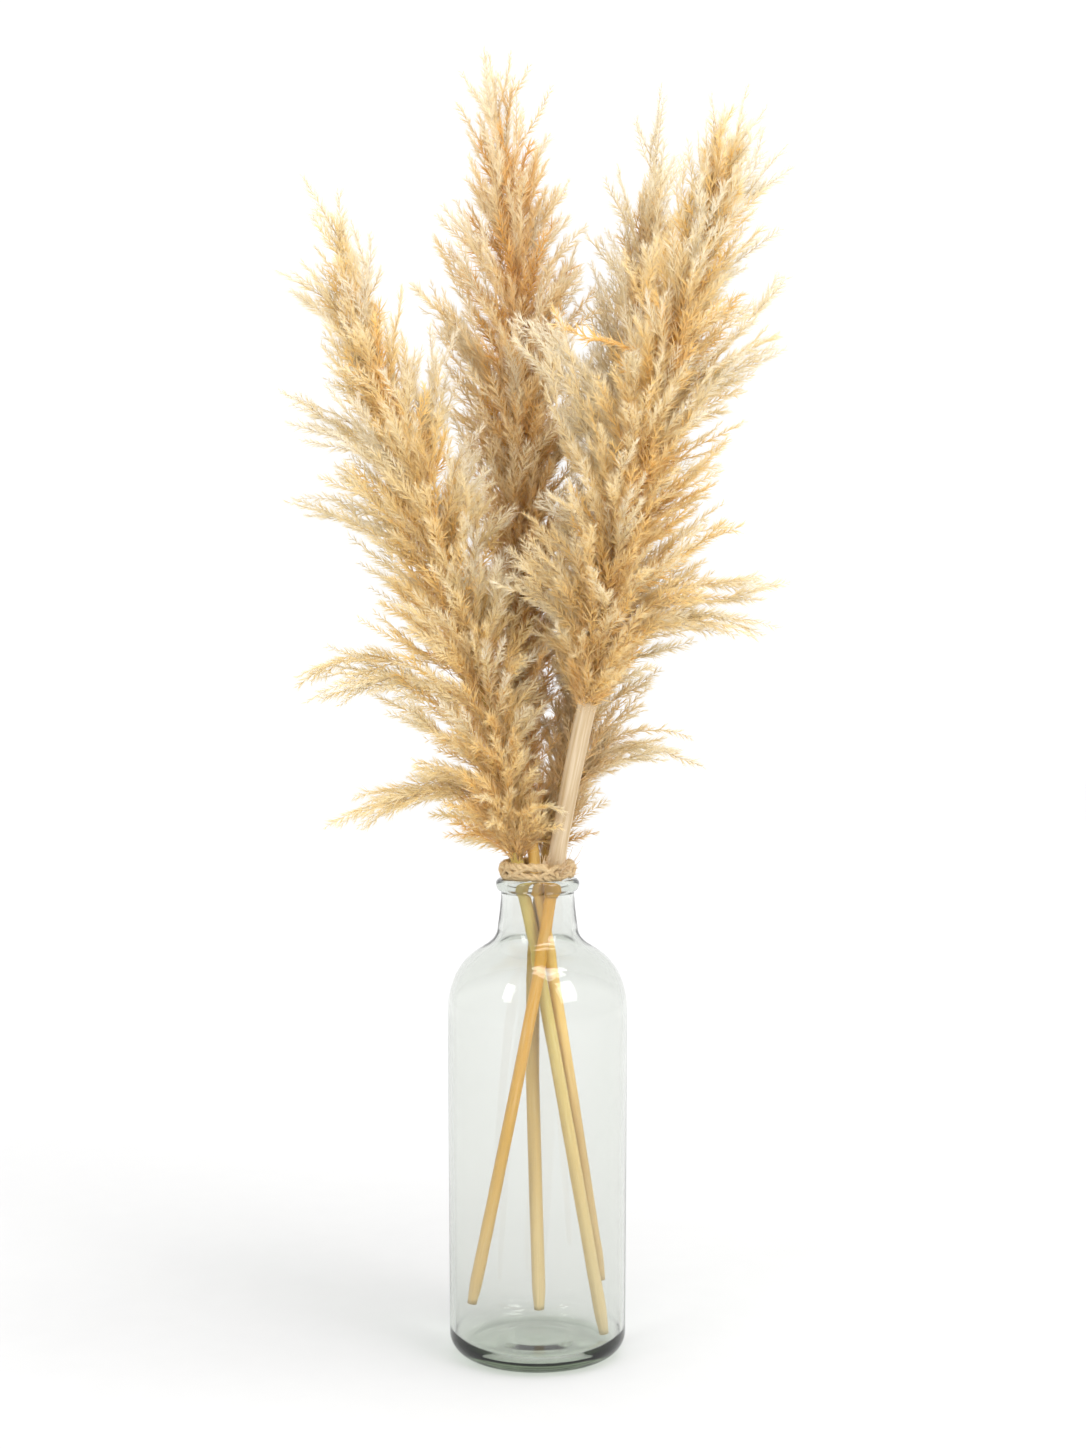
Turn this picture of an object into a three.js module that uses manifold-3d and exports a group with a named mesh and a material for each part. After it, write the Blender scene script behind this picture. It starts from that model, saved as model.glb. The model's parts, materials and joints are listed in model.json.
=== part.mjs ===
// A bundle of four dried pampas grass plumes, tied with twine and stood in a clear glass bottle vase.
// Millimetres, +Z up. The origin is the centre of the flat underside of the vase.
// -Y is the front: the plume in the leaf sheath leans towards it.
import * as THREE from "three";
import { mergeVertices } from "three/addons/utils/BufferGeometryUtils.js";
import Module from "manifold-3d";

// ---- Driving dimensions ----

const CLEARANCE = 0.3; // gap between pieces that touch

// Glass vase
const VASE_HEIGHT = 300;
const BODY_RADIUS = 56.7; // at the shoulder, where it is widest
const SIDE_TAPER = 1.1; // how much narrower the side is at its foot
const HEEL_ROUNDING = 13; // between the side and the flat underside
const BODY_WALL = 3;
const FLOOR_THICKNESS = 8;
const SHOULDER_DEPTH = 85; // from the rim down to the top of the side
const SHOULDER_RISE = 41;
const SHOULDER_FULLNESS = 22; // how far up the shoulder keeps the line of the side
const SHOULDER_TURN_INSET = 20.7; // from the side in to where the round shoulder turns hollow
const SHOULDER_TURN_RUN = 12; // the slope there, as a run and a drop
const SHOULDER_TURN_DROP = 7;
const NECK_LENGTH = 30;
const NECK_WALL = 2.8; // under the lip
const NECK_FLARE = 2.4; // how much wider the neck is at its foot
const LIP_ROUNDING = 3.15; // half the width of the rolled lip
const LIP_DEPTH = 8;

// Twine round the bundle, seated in the mouth of the vase
const TWINE_RADIUS = 2.8;
const TWINE_TURNS = 1.8;
const TWINE_CLIMB = 0.18; // share of each turn in which the twine climbs on top of itself
const TWINE_OVERHANG = 0.6; // how far the middle of the twine lies outside the bore of the mouth
const WAIST_SLACK = 0.7; // room that a leaning stem needs inside the twine

// Stems
const STEM_RADIUS = { left: 4.2, centre: 3.9, right: 4.6, front: 4.0 };
const FOOT_RADIUS_SHARE = 0.7; // a cut foot is whittled to this share of the stem
const WHITTLED_LENGTH = 14;
const STEM_TIP_RADIUS = 0.9;
const CROSSING_DEPTH = 60; // from the rim down to where the stems pass each other
const WAIST_PITCHES = 1.22; // from the middle of the bundle to its outer stems, in stem widths

// Leaf sheath on the front stem
const SHEATH_WALL = 0.8;
const SHEATH_BELOW_MOUTH = 12;
const SHEATH_LENGTH = 118;

// Plumes
const PLUME_START = 2; // the first fluff above the twine
const BRANCH_RADII = [24, 14, 3]; // a hanging branch of fluff, from the plume to its tip

// Facets
const VASE_SIDES = 40;
const VASE_CURVE_STEPS = 4;
const TWINE_STEPS_PER_TURN = 32;
const TWINE_CURVE_STEPS = 4;
const STEM_SIDES = 10;
const SHEATH_SIDES = 14;
const PLUME_SIDES = 22;
const BRANCH_SIDES = 10;
const STEPS_PER_STATION = 3;
const STEPS_PER_SLICE = 2;

// ---- Finishes ----

function finish(color, roughness, metalness = 0) {
  return new THREE.MeshStandardMaterial({ color, roughness, metalness });
}

const glass = finish(0xc9d6cf, 0.08);
const straw = finish(0xd9bd7c, 0.6);
const paleLeaf = finish(0xdcc8a0, 0.65);
const fluff = finish(0xdcbf8d, 0.95);
const jute = finish(0xb98f5c, 0.9);

// ---- Solids ----

const manifold = await Module();
manifold.setup();

function solidOf(geometry) {
  const bare = geometry.clone();
  bare.deleteAttribute("normal");
  bare.deleteAttribute("uv");
  const merged = mergeVertices(bare);
  return new manifold.Manifold(new manifold.Mesh({
    numProp: 3,
    vertProperties: new Float32Array(merged.attributes.position.array),
    triVerts: new Uint32Array(merged.index.array),
  }));
}

function geometryOf(solid) {
  const mesh = solid.getMesh();
  const geometry = new THREE.BufferGeometry();
  geometry.setAttribute("position", new THREE.BufferAttribute(new Float32Array(mesh.vertProperties), 3));
  geometry.setIndex(new THREE.BufferAttribute(new Uint32Array(mesh.triVerts), 1));
  geometry.computeVertexNormals();
  return geometry;
}

function place(x, y, z) {
  return new THREE.Vector3(x, y, z);
}

// A closed unit cylinder whose every point is moved by a rule. The rule gets t, 0 to 1 from end to end,
// and the point's two coordinates in the unit circle.
function shaped(sides, steps, rule) {
  const outline = [new THREE.Vector2(0, 0)];
  for (let i = 0; i <= steps; i++) {
    outline.push(new THREE.Vector2(1, i / steps));
  }
  outline.push(new THREE.Vector2(0, 1));
  const geometry = new THREE.LatheGeometry(outline, sides);
  const points = geometry.attributes.position;
  for (let i = 0; i < points.count; i++) {
    const moved = rule(points.getY(i), points.getX(i), -points.getZ(i));
    points.setXYZ(i, moved.x, moved.y, moved.z);
  }
  return solidOf(geometry);
}

// The value of a list at t, 0 to 1 from its first entry to its last.
function along(list, t) {
  const place = t * (list.length - 1);
  const before = Math.min(Math.floor(place), list.length - 2);
  return THREE.MathUtils.lerp(list[before], list[before + 1], place - before);
}

// How far an end face moves out when a solid is grown by extra.
function endShift(t, extra) {
  return t === 0 ? -extra : t === 1 ? extra : 0;
}

// A round rod bent along its stations, each { at: Vector3, radius }, and grown all over by extra.
function rod(stations, sides, stepsEach, extra = 0) {
  const spine = new THREE.CatmullRomCurve3(stations.map((s) => s.at), false, "centripetal");
  const radii = stations.map((s) => s.radius + extra);
  const depth = new THREE.Vector3(0, 1, 0);
  return shaped(sides, (stations.length - 1) * stepsEach, (t, a, b) => {
    const tangent = spine.getTangent(t);
    const across = new THREE.Vector3().crossVectors(depth, tangent).normalize();
    const inward = new THREE.Vector3().crossVectors(tangent, across);
    const radius = along(radii, t);
    const point = spine.getPoint(t).addScaledVector(tangent, endShift(t, extra));
    return point.addScaledVector(across, a * radius).addScaledVector(inward, b * radius);
  });
}

// A soft body of level slices, each { x, y, z, wide, deep }, where wide and deep are half widths.
function slicedBody(slices, sides, stepsEach, extra = 0) {
  const centres = new THREE.CatmullRomCurve3(slices.map((s) => place(s.x, s.y, s.z)), false, "centripetal");
  const widths = slices.map((s) => s.wide + extra);
  const depths = slices.map((s) => s.deep + extra);
  return shaped(sides, (slices.length - 1) * stepsEach, (t, a, b) => {
    const centre = centres.getPoint(t);
    return place(
      centre.x + a * along(widths, t),
      centre.y + b * along(depths, t),
      centre.z + endShift(t, extra));
  });
}

// ---- What fits what ----

// One pitch is the room that the thickest stem needs beside another.
const stemPitch = 2 * Math.max(...Object.values(STEM_RADIUS)) + 2 * CLEARANCE;
const sheathRadius = STEM_RADIUS.front + CLEARANCE + SHEATH_WALL;
const waistReach = WAIST_PITCHES * stemPitch;
const twineBore = waistReach + Math.max(sheathRadius, STEM_RADIUS.left, STEM_RADIUS.right) + WAIST_SLACK;
const twineRadius = twineBore + TWINE_RADIUS;
const mouthRadius = twineRadius - TWINE_OVERHANG;
const lipCentre = VASE_HEIGHT - LIP_ROUNDING;
const twineSeat = lipCentre + Math.sqrt(
  (LIP_ROUNDING + TWINE_RADIUS + CLEARANCE) ** 2 - (LIP_ROUNDING - TWINE_OVERHANG) ** 2);
const twinePitch = 2 * TWINE_RADIUS + CLEARANCE;
const twineTop = twineSeat + twinePitch + TWINE_RADIUS;
const waistHeight = twineSeat + twinePitch / 2;
const crossingHeight = VASE_HEIGHT - CROSSING_DEPTH;
const heelRadius = BODY_RADIUS - SIDE_TAPER;

// ---- Glass vase ----

// The line of the wall from the side over the shoulder to the foot of the neck, set in by inset.
// The shoulder is round where it leaves the side and hollow where it runs into the neck.
function addWallLine(path, inset) {
  const side = BODY_RADIUS - inset;
  const sideTop = VASE_HEIGHT - SHOULDER_DEPTH - inset / 2;
  const turnRadius = side - SHOULDER_TURN_INSET;
  const turnHeight = VASE_HEIGHT - SHOULDER_DEPTH + SHOULDER_RISE - inset;
  const neckRadius = mouthRadius + NECK_WALL + NECK_FLARE - inset;
  const neckFoot = VASE_HEIGHT - NECK_LENGTH - inset / 2;
  path.lineTo(side, sideTop);
  path.bezierCurveTo(
    side, sideTop + SHOULDER_FULLNESS,
    turnRadius + SHOULDER_TURN_RUN, turnHeight - SHOULDER_TURN_DROP,
    turnRadius, turnHeight);
  path.bezierCurveTo(
    turnRadius - SHOULDER_TURN_RUN / 2, turnHeight + SHOULDER_TURN_DROP / 2,
    neckRadius, neckFoot - SHOULDER_TURN_DROP,
    neckRadius, neckFoot);
}

function vase() {
  const lipRadius = mouthRadius + 2 * LIP_ROUNDING;
  const flatRadius = heelRadius - HEEL_ROUNDING;
  const innerRounding = HEEL_ROUNDING - BODY_WALL;
  const outer = new THREE.Path();
  outer.moveTo(0, 0);
  outer.lineTo(flatRadius, 0);
  outer.absarc(flatRadius, HEEL_ROUNDING, HEEL_ROUNDING, -Math.PI / 2, 0);
  addWallLine(outer, 0);
  outer.lineTo(mouthRadius + NECK_WALL, VASE_HEIGHT - LIP_DEPTH);
  outer.quadraticCurveTo(lipRadius, VASE_HEIGHT - LIP_DEPTH, lipRadius, lipCentre);
  outer.absarc(mouthRadius + LIP_ROUNDING, lipCentre, LIP_ROUNDING, 0, Math.PI);
  const inner = new THREE.Path();
  inner.moveTo(0, FLOOR_THICKNESS);
  inner.lineTo(flatRadius, FLOOR_THICKNESS);
  inner.absarc(flatRadius, FLOOR_THICKNESS + innerRounding, innerRounding, -Math.PI / 2, 0);
  addWallLine(inner, BODY_WALL);
  inner.lineTo(mouthRadius, lipCentre);
  const up = outer.getPoints(VASE_CURVE_STEPS);
  const down = inner.getPoints(VASE_CURVE_STEPS).reverse();
  const geometry = new THREE.LatheGeometry([...up, ...down.slice(1)], VASE_SIDES);
  geometry.rotateX(Math.PI / 2);
  return geometry;
}

// ---- Twine ----

// The twine lies level for most of a turn, then climbs on top of itself.
function twine() {
  const route = [];
  for (let i = 0; i <= TWINE_TURNS * TWINE_STEPS_PER_TURN; i++) {
    const turn = i / TWINE_STEPS_PER_TURN;
    const climb = Math.floor(turn) + THREE.MathUtils.smoothstep(turn % 1, 1 - TWINE_CLIMB, 1);
    const angle = 2 * Math.PI * turn;
    route.push(place(
      twineRadius * Math.cos(angle),
      twineRadius * Math.sin(angle),
      twineSeat + twinePitch * climb));
  }
  const section = new THREE.Shape();
  section.absarc(0, 0, TWINE_RADIUS, 0, 2 * Math.PI);
  return new THREE.ExtrudeGeometry(section, {
    curveSegments: TWINE_CURVE_STEPS,
    steps: route.length - 1,
    bevelEnabled: false,
    extrudePath: new THREE.CatmullRomCurve3(route),
  });
}

// ---- Stems ----

// A point in the waist of the bundle, against the inside of the twine.
function waist(degrees) {
  const angle = THREE.MathUtils.degToRad(degrees);
  return place(waistReach * Math.cos(angle), waistReach * Math.sin(angle), waistHeight);
}

// A point beside the middle of the bundle where the stems pass each other, in pitches.
function crossing(across, inward) {
  return place(across * stemPitch, inward * stemPitch, crossingHeight);
}

// The cut end of a stem, in from the inside wall of the vase and up from its floor.
function foot(radius, degrees, fromWall, lift) {
  const reach = heelRadius - BODY_WALL - radius - fromWall;
  const angle = THREE.MathUtils.degToRad(degrees);
  return place(reach * Math.cos(angle), reach * Math.sin(angle), FLOOR_THICKNESS + CLEARANCE + lift);
}

// Heights above the twine are written from its top.
function above(x, y, rise) {
  return place(x, y, twineTop + rise);
}

const stemRoutes = {
  left: [
    foot(STEM_RADIUS.left, 0, 6, 2),
    crossing(0.15, -0.05),
    waist(184),
    above(-22, -5, 50),
    above(-36, -11, 113),
    above(-60, -17, 190),
    above(-86, -21, 265),
    above(-110, -24, 335),
  ],
  centre: [
    foot(STEM_RADIUS.centre, 16, 6, 33),
    crossing(0.97, 0.48),
    place(-0.12 * stemPitch, 0.12 * stemPitch, waistHeight),
    above(-8, 9, 50),
    above(-11, 18, 120),
    above(-10, 27, 230),
    above(-12, 35, 340),
    above(-17, 42, 440),
  ],
  right: [
    foot(STEM_RADIUS.right, 85, 38, 14),
    crossing(-0.3, 1.38),
    waist(66),
    above(17, 17, 50),
    above(32, 25, 120),
    above(53, 38, 240),
    above(66, 47, 340),
    above(72, 53, 400),
  ],
  front: [
    foot(STEM_RADIUS.front, 196, 6, 25),
    crossing(0.05, -0.97),
    waist(-28),
    above(19.5, -10, 45),
    above(30, -15, 96),
    above(50, -27, 190),
    above(75, -37, 290),
    above(101, -45, 380),
  ],
};

function stemStations(name) {
  const route = stemRoutes[name];
  const full = STEM_RADIUS[name];
  const last = route.length - 1;
  const whittled = route[0].clone();
  whittled.lerp(route[1], WHITTLED_LENGTH / route[0].distanceTo(route[1]));
  const stations = [{ at: route[0], radius: full * FOOT_RADIUS_SHARE }, { at: whittled, radius: full }];
  for (let i = 1; i <= last; i++) {
    const thinning = Math.max(0, (i - 3) / (last - 3));
    stations.push({ at: route[i], radius: THREE.MathUtils.lerp(full, STEM_TIP_RADIUS, thinning) });
  }
  return stations;
}

function stem(name, extra = 0) {
  return rod(stemStations(name), STEM_SIDES, STEPS_PER_STATION, extra);
}

// The sheath follows the front stem, so it is the same bent rod, grown and cut to length.
function sheath(extra = 0) {
  const length = SHEATH_LENGTH + 2 * extra;
  const keep = new THREE.CylinderGeometry(BODY_RADIUS, BODY_RADIUS, length, STEM_SIDES);
  keep.rotateX(Math.PI / 2);
  keep.translate(0, 0, VASE_HEIGHT - SHEATH_BELOW_MOUTH - extra + length / 2);
  const stations = stemStations("front").map((s) => ({ at: s.at, radius: STEM_RADIUS.front }));
  const grown = rod(stations, SHEATH_SIDES, STEPS_PER_STATION, CLEARANCE + SHEATH_WALL + extra);
  return grown.intersect(solidOf(keep));
}

// ---- Plumes ----

function slice(x, y, rise, wide, deep = wide) {
  return { x, y, z: twineTop + rise, wide, deep };
}

// Each plume is its body of fluff and the long branches that hang out of it.
const plumeForms = {
  left: {
    body: [
      slice(-15, -2, PLUME_START, 6),
      slice(-36, -6, 28, 32, 24),
      slice(-44, -10, 74, 44, 34),
      slice(-60, -13, 120, 56, 42),
      slice(-60, -16, 168, 53, 44),
      slice(-73, -18, 222, 50, 43),
      slice(-95, -21, 288, 40, 36),
      slice(-111, -23, 338, 25, 24),
      slice(-122, -24, 386, 10, 10),
      slice(-127, -24, 408, 1.5, 1.5),
    ],
    branches: [
      [above(-40, -8, 40), above(-84, -12, 46), above(-124, -16, 24)],
      [above(-60, -10, 118), above(-112, -14, 136), above(-148, -18, 116)],
      [above(-80, -20, 225), above(-122, -24, 255), above(-152, -26, 282)],
    ],
  },
  centre: {
    body: [
      slice(-8, 11, 54, 10),
      slice(-9, 20, 120, 26, 26),
      slice(-6, 26, 190, 36, 34),
      slice(-6, 31, 258, 42, 38),
      slice(-16, 35, 318, 48, 42),
      slice(-22, 38, 358, 50, 44),
      slice(-20, 41, 398, 42, 38),
      slice(-20, 43, 438, 31, 29),
      slice(-21, 45, 474, 18, 17),
      slice(-25, 47, 506, 2, 2),
    ],
    branches: [
      [above(-20, 30, 290), above(-52, 34, 318), above(-76, 38, 352)],
      [above(0, 40, 330), above(20, 46, 385), above(30, 50, 420)],
    ],
  },
  right: {
    body: [
      slice(11, 13, PLUME_START, 5.5),
      slice(26, 20, 50, 26, 22),
      slice(38, 26, 96, 33, 30),
      slice(50, 34, 170, 38, 36),
      slice(58, 41, 258, 38, 36),
      slice(66, 46, 328, 37, 34),
      slice(72, 50, 386, 31, 28),
      slice(75, 53, 428, 18, 17),
      slice(76, 55, 462, 1.5, 1.5),
    ],
    branches: [
      [above(36, 24, 70), above(66, 30, 84), above(96, 36, 78)],
    ],
  },
  front: {
    body: [
      slice(30, -15, 96, 7),
      slice(38, -19, 122, 26, 22),
      slice(48, -25, 156, 48, 38),
      slice(58, -30, 200, 60, 48),
      slice(64, -35, 262, 50, 44),
      slice(84, -39, 322, 42, 38),
      slice(102, -43, 384, 31, 28),
      slice(113, -46, 430, 18, 17),
      slice(123, -49, 478, 1.5, 1.5),
    ],
    branches: [
      [above(60, -34, 160), above(108, -42, 176), above(142, -48, 156)],
      [above(50, -36, 230), above(14, -46, 290), above(-16, -52, 338)],
      [above(84, -38, 270), above(124, -42, 330), above(150, -44, 366)],
    ],
  },
};

function plume(name, extra = 0) {
  const form = plumeForms[name];
  let fluffy = slicedBody(form.body, PLUME_SIDES, STEPS_PER_SLICE, extra);
  for (const route of form.branches) {
    const stations = route.map((at, i) => ({ at, radius: BRANCH_RADII[i] }));
    fluffy = fluffy.add(rod(stations, BRANCH_SIDES, STEPS_PER_STATION, extra));
  }
  return fluffy;
}

// The plumes press into each other where they meet. The ones in front keep their form, and those behind
// are hollowed by them; every plume is threaded by its own stem and leaves room for its neighbours'.
function plumeAmong(name, plumesInFront) {
  let fluffy = plume(name);
  for (const other of plumesInFront) {
    fluffy = fluffy.subtract(plume(other, CLEARANCE));
  }
  for (const other of Object.keys(STEM_RADIUS)) {
    fluffy = fluffy.subtract(stem(other, CLEARANCE));
  }
  return fluffy.subtract(sheath(CLEARANCE));
}

// ---- Assembly ----

const bundle = new THREE.Group();

function add(name, geometry, material) {
  const mesh = new THREE.Mesh(geometry, material);
  mesh.name = name;
  bundle.add(mesh);
}

add("glass_vase", vase(), glass);
add("tie_twine", twine(), jute);
for (const name of Object.keys(STEM_RADIUS)) {
  add(`stem_${name}`, geometryOf(stem(name)), straw);
}
add("leaf_sheath", geometryOf(sheath().subtract(stem("front", CLEARANCE))), paleLeaf);
add("plume_front", geometryOf(plumeAmong("front", [])), fluff);
add("plume_left", geometryOf(plumeAmong("left", ["front"])), fluff);
add("plume_centre", geometryOf(plumeAmong("centre", ["front", "left"])), fluff);
add("plume_right", geometryOf(plumeAmong("right", ["front", "left", "centre"])), fluff);

export default bundle;
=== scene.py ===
# %% [markdown]
# # A bundle of dried pampas grass in a bottle vase
# Four feathery plumes on cut stalks are tied with twine and stand in a clear glass bottle.
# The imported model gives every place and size. This lesson gives each piece its real surface:
# blown glass, fibrous straw, a papery leaf, twisted jute and many thousands of silky hairs.

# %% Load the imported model
import json
import math

import bpy
import numpy as np
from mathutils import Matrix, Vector
from mathutils.bvhtree import BVHTree

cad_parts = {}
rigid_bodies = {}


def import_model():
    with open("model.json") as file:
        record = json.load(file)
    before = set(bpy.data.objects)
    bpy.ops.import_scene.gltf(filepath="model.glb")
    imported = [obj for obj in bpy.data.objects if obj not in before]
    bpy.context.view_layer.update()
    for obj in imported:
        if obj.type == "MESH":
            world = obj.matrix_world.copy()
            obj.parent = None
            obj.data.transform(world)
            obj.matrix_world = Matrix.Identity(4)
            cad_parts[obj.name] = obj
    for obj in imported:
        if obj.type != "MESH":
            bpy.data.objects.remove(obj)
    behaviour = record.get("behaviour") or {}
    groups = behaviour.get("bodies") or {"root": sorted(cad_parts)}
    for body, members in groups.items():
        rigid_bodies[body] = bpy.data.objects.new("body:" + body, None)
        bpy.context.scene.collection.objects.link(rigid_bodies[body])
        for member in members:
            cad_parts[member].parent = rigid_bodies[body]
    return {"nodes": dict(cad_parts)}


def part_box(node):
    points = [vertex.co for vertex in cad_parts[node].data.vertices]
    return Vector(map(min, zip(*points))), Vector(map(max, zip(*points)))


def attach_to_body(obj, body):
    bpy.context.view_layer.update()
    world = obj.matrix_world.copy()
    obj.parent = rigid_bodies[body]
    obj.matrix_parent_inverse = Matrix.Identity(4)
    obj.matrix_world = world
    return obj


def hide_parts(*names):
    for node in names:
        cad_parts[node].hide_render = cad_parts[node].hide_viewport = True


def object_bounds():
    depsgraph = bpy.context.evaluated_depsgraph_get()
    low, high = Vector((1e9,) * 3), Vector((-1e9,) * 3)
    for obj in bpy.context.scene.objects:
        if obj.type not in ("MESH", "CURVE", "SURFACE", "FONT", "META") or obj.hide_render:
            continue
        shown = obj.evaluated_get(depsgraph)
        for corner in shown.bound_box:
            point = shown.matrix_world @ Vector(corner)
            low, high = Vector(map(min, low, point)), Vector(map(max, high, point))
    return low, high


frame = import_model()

MM = 0.001
cad_low, cad_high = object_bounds()
print("packed model from", tuple(round(v, 4) for v in cad_low), "to", tuple(round(v, 4) for v in cad_high))


def add_object(name, data):
    """A new object in the scene, at the origin."""
    made = bpy.data.objects.new(name, data)
    bpy.context.scene.collection.objects.link(made)
    return made


# %% [markdown]
# ## The camera
# A tall object is seen best from a little above its middle and from far enough away that its top
# and its foot keep their proportions. A lens somewhat longer than normal does that.

# %% Place the camera
CAMERA_DISTANCE = 1.350
CAMERA_HEIGHT = 0.447
CAMERA_AIM = (0.0034, 0.0, 0.397)
SENSOR_WIDTH_MM = 36.0
FOCAL_LENGTH_MM = 53.5


def turned_to(place, aim):
    """The turn that points a camera or a lamp at something."""
    return (Vector(aim) - Vector(place)).to_track_quat("-Z", "Y").to_euler()


lens = bpy.data.cameras.new("camera")
lens.sensor_width = SENSOR_WIDTH_MM
lens.lens = FOCAL_LENGTH_MM
camera = add_object("camera", lens)
camera.location = (CAMERA_AIM[0], -CAMERA_DISTANCE, CAMERA_HEIGHT)
camera.rotation_euler = turned_to(camera.location, CAMERA_AIM)
bpy.context.scene.camera = camera
print("camera", CAMERA_DISTANCE, "m in front of the vase")

# %% [markdown]
# ## Writing node maths as Python
# A finish is a tree of nodes, and so is a shape that Geometry Nodes make. Wiring each node by hand
# hides the idea, so one small class wraps a socket and lets Python's own operators add the Math
# nodes. `1 - mask` then does what it says. Colours are mixed by the Mix node, because a Math node
# would turn them grey.

# %% A socket that can be used in expressions
class Wire:
    """One output of a node, ready to be added, multiplied or mixed."""

    def __init__(self, home, socket):
        self.home = home
        self.socket = socket

    def __getitem__(self, output):
        """Another output of the same node."""
        return Wire(self.home, self.socket.node.outputs[output])

    def __add__(self, other):
        return self.home.maths("ADD", self, other)

    def __sub__(self, other):
        return self.home.maths("SUBTRACT", self, other)

    def __rsub__(self, other):
        return self.home.maths("SUBTRACT", other, self)

    def __mul__(self, other):
        return self.home.maths("MULTIPLY", self, other)

    __radd__ = __add__
    __rmul__ = __mul__


class Nodes:
    """A node tree that grows call by call. Each call gives back a Wire."""

    def __init__(self, tree):
        self.tree = tree

    def node(self, kind, settings=None, inputs=None, output=0):
        """Adds a node: its settings are set first, then the values or links of its sockets."""
        made = self.tree.nodes.new(kind)
        for key, value in (settings or {}).items():
            if key == "stops":
                ramp = made.color_ramp
                while len(ramp.elements) < len(value):
                    ramp.elements.new(0.5)
                for element, (place, colour) in zip(ramp.elements, value):
                    element.position = place
                    element.color = (*colour, 1.0)
            else:
                setattr(made, key, value)
        for key, value in (inputs or {}).items():
            for each in (value if isinstance(value, list) else [value]):
                if isinstance(each, Wire):
                    self.tree.links.new(each.socket, made.inputs[key])
                else:
                    made.inputs[key].default_value = each
        return Wire(self, made.outputs[output]) if made.outputs else None

    def maths(self, operation, a, b):
        return self.node("ShaderNodeMath", {"operation": operation}, {0: a, 1: b})

    def part(self, vector, which):
        """One of the three numbers of a vector."""
        return self.node("ShaderNodeSeparateXYZ", {}, {0: vector}, output=which)


class Finish(Nodes):
    """The node tree of one material."""

    def __init__(self, name):
        self.material = bpy.data.materials.new(name)
        self.material.use_nodes = True
        super().__init__(self.material.node_tree)
        self.tree.nodes.clear()

    def mix(self, a, b, factor):
        """A blend of two colours."""
        a = (*a, 1.0) if isinstance(a, tuple) else a
        b = (*b, 1.0) if isinstance(b, tuple) else b
        return self.node("ShaderNodeMix", {"data_type": "RGBA"}, {0: factor, 6: a, 7: b}, output=2)

    def ramp(self, value, stops):
        return self.node("ShaderNodeValToRGB", {"stops": stops}, {0: value})

    def span(self, value, low, high, to_low=0.0, to_high=1.0):
        """A value from low to high, spread over another range."""
        return self.node("ShaderNodeMapRange", {"clamp": True},
                         {0: value, 1: low, 2: high, 3: to_low, 4: to_high})

    def noise(self, vector, scale, detail=3.0, roughness=0.5, stretch=(1, 1, 1)):
        placed = self.node("ShaderNodeMapping", {}, {"Vector": vector, "Scale": stretch})
        return self.node("ShaderNodeTexNoise", {},
                         {"Vector": placed, "Scale": scale, "Detail": detail, "Roughness": roughness})

    def place(self):
        """Where a point of the piece is, in metres."""
        return self.node("ShaderNodeTexCoord", output=3)

    def attribute(self, name):
        """A vector that the piece's own mesh keeps at each point."""
        return self.node("ShaderNodeAttribute", {"attribute_name": name}, output=1)

    def bump(self, height, strength, distance):
        return self.node("ShaderNodeBump", {},
                         {"Height": height, "Strength": strength, "Distance": distance})

    def principled(self, **inputs):
        """The main shader. An underscore in a name stands for a space."""
        return self.node("ShaderNodeBsdfPrincipled", {}, {
            key.replace("_", " "): value for key, value in inputs.items()})

    def surface(self, shader, volume=None):
        """Ends the tree and gives back its material."""
        ends = {"Surface": shader} if volume is None else {"Surface": shader, "Volume": volume}
        self.node("ShaderNodeOutputMaterial", {}, ends)
        print("finish", self.material.name, "has", len(self.tree.nodes), "nodes")
        return self.material


# %% [markdown]
# ## The floor, the light and the white surround
# The bundle stands in a white studio. A white world lights it from all round and shows through the
# glass. A large soft lamp high on the right gives the plumes their form and a faint shadow on the
# left, and two lower ones in front give the shoulder of the bottle its windows of light. The paper
# is painted a touch greyer near the vase, a painted shade that keeps that shadow from being washed out.

# %% A white floor and world
FLOOR_RADIUS = 6.0
FLOOR_SIDES = 96
FLOOR_GAP = 0.0002
WORLD_STRENGTH = 1.06
PAINTED_SHADE_PAPER = (0.622, 0.622, 0.622), (0.637, 0.637, 0.637)
WHITE_PAPER = (0.95, 0.95, 0.95)

world = bpy.data.worlds.new("studio")
world.use_nodes = True
world.node_tree.nodes["Background"].inputs["Color"].default_value = (1.0, 1.0, 1.0, 1.0)
world.node_tree.nodes["Background"].inputs["Strength"].default_value = WORLD_STRENGTH
bpy.context.scene.world = world
bpy.context.scene.view_settings.view_transform = "Standard"

paper = Finish("white_paper")
from_middle = paper.node("ShaderNodeVectorMath", {"operation": "LENGTH"}, {0: paper.place()}, output=1)
# Painted shade: the paper is greyer near the vase, so the lamp's shadow there reads darker.
near_paper_shade = paper.mix(*PAINTED_SHADE_PAPER, paper.noise(paper.place(), 40.0, 2.0))
paper_colour = paper.mix(near_paper_shade, WHITE_PAPER, paper.span(from_middle, 0.30, 2.3))
white_paper = paper.surface(paper.principled(
    Base_Color=paper_colour, Roughness=0.9, Specular_IOR_Level=0.1))

floor_mesh = bpy.data.meshes.new("floor")
turns = np.linspace(0, 2 * np.pi, FLOOR_SIDES, endpoint=False)
floor_mesh.from_pydata(
    [(FLOOR_RADIUS * math.cos(a), FLOOR_RADIUS * math.sin(a), cad_low.z - FLOOR_GAP) for a in turns],
    [], [tuple(range(FLOOR_SIDES))])
floor_mesh.materials.append(white_paper)
floor = add_object("floor", floor_mesh)
print("floor", 2 * FLOOR_RADIUS, "m across")

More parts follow.
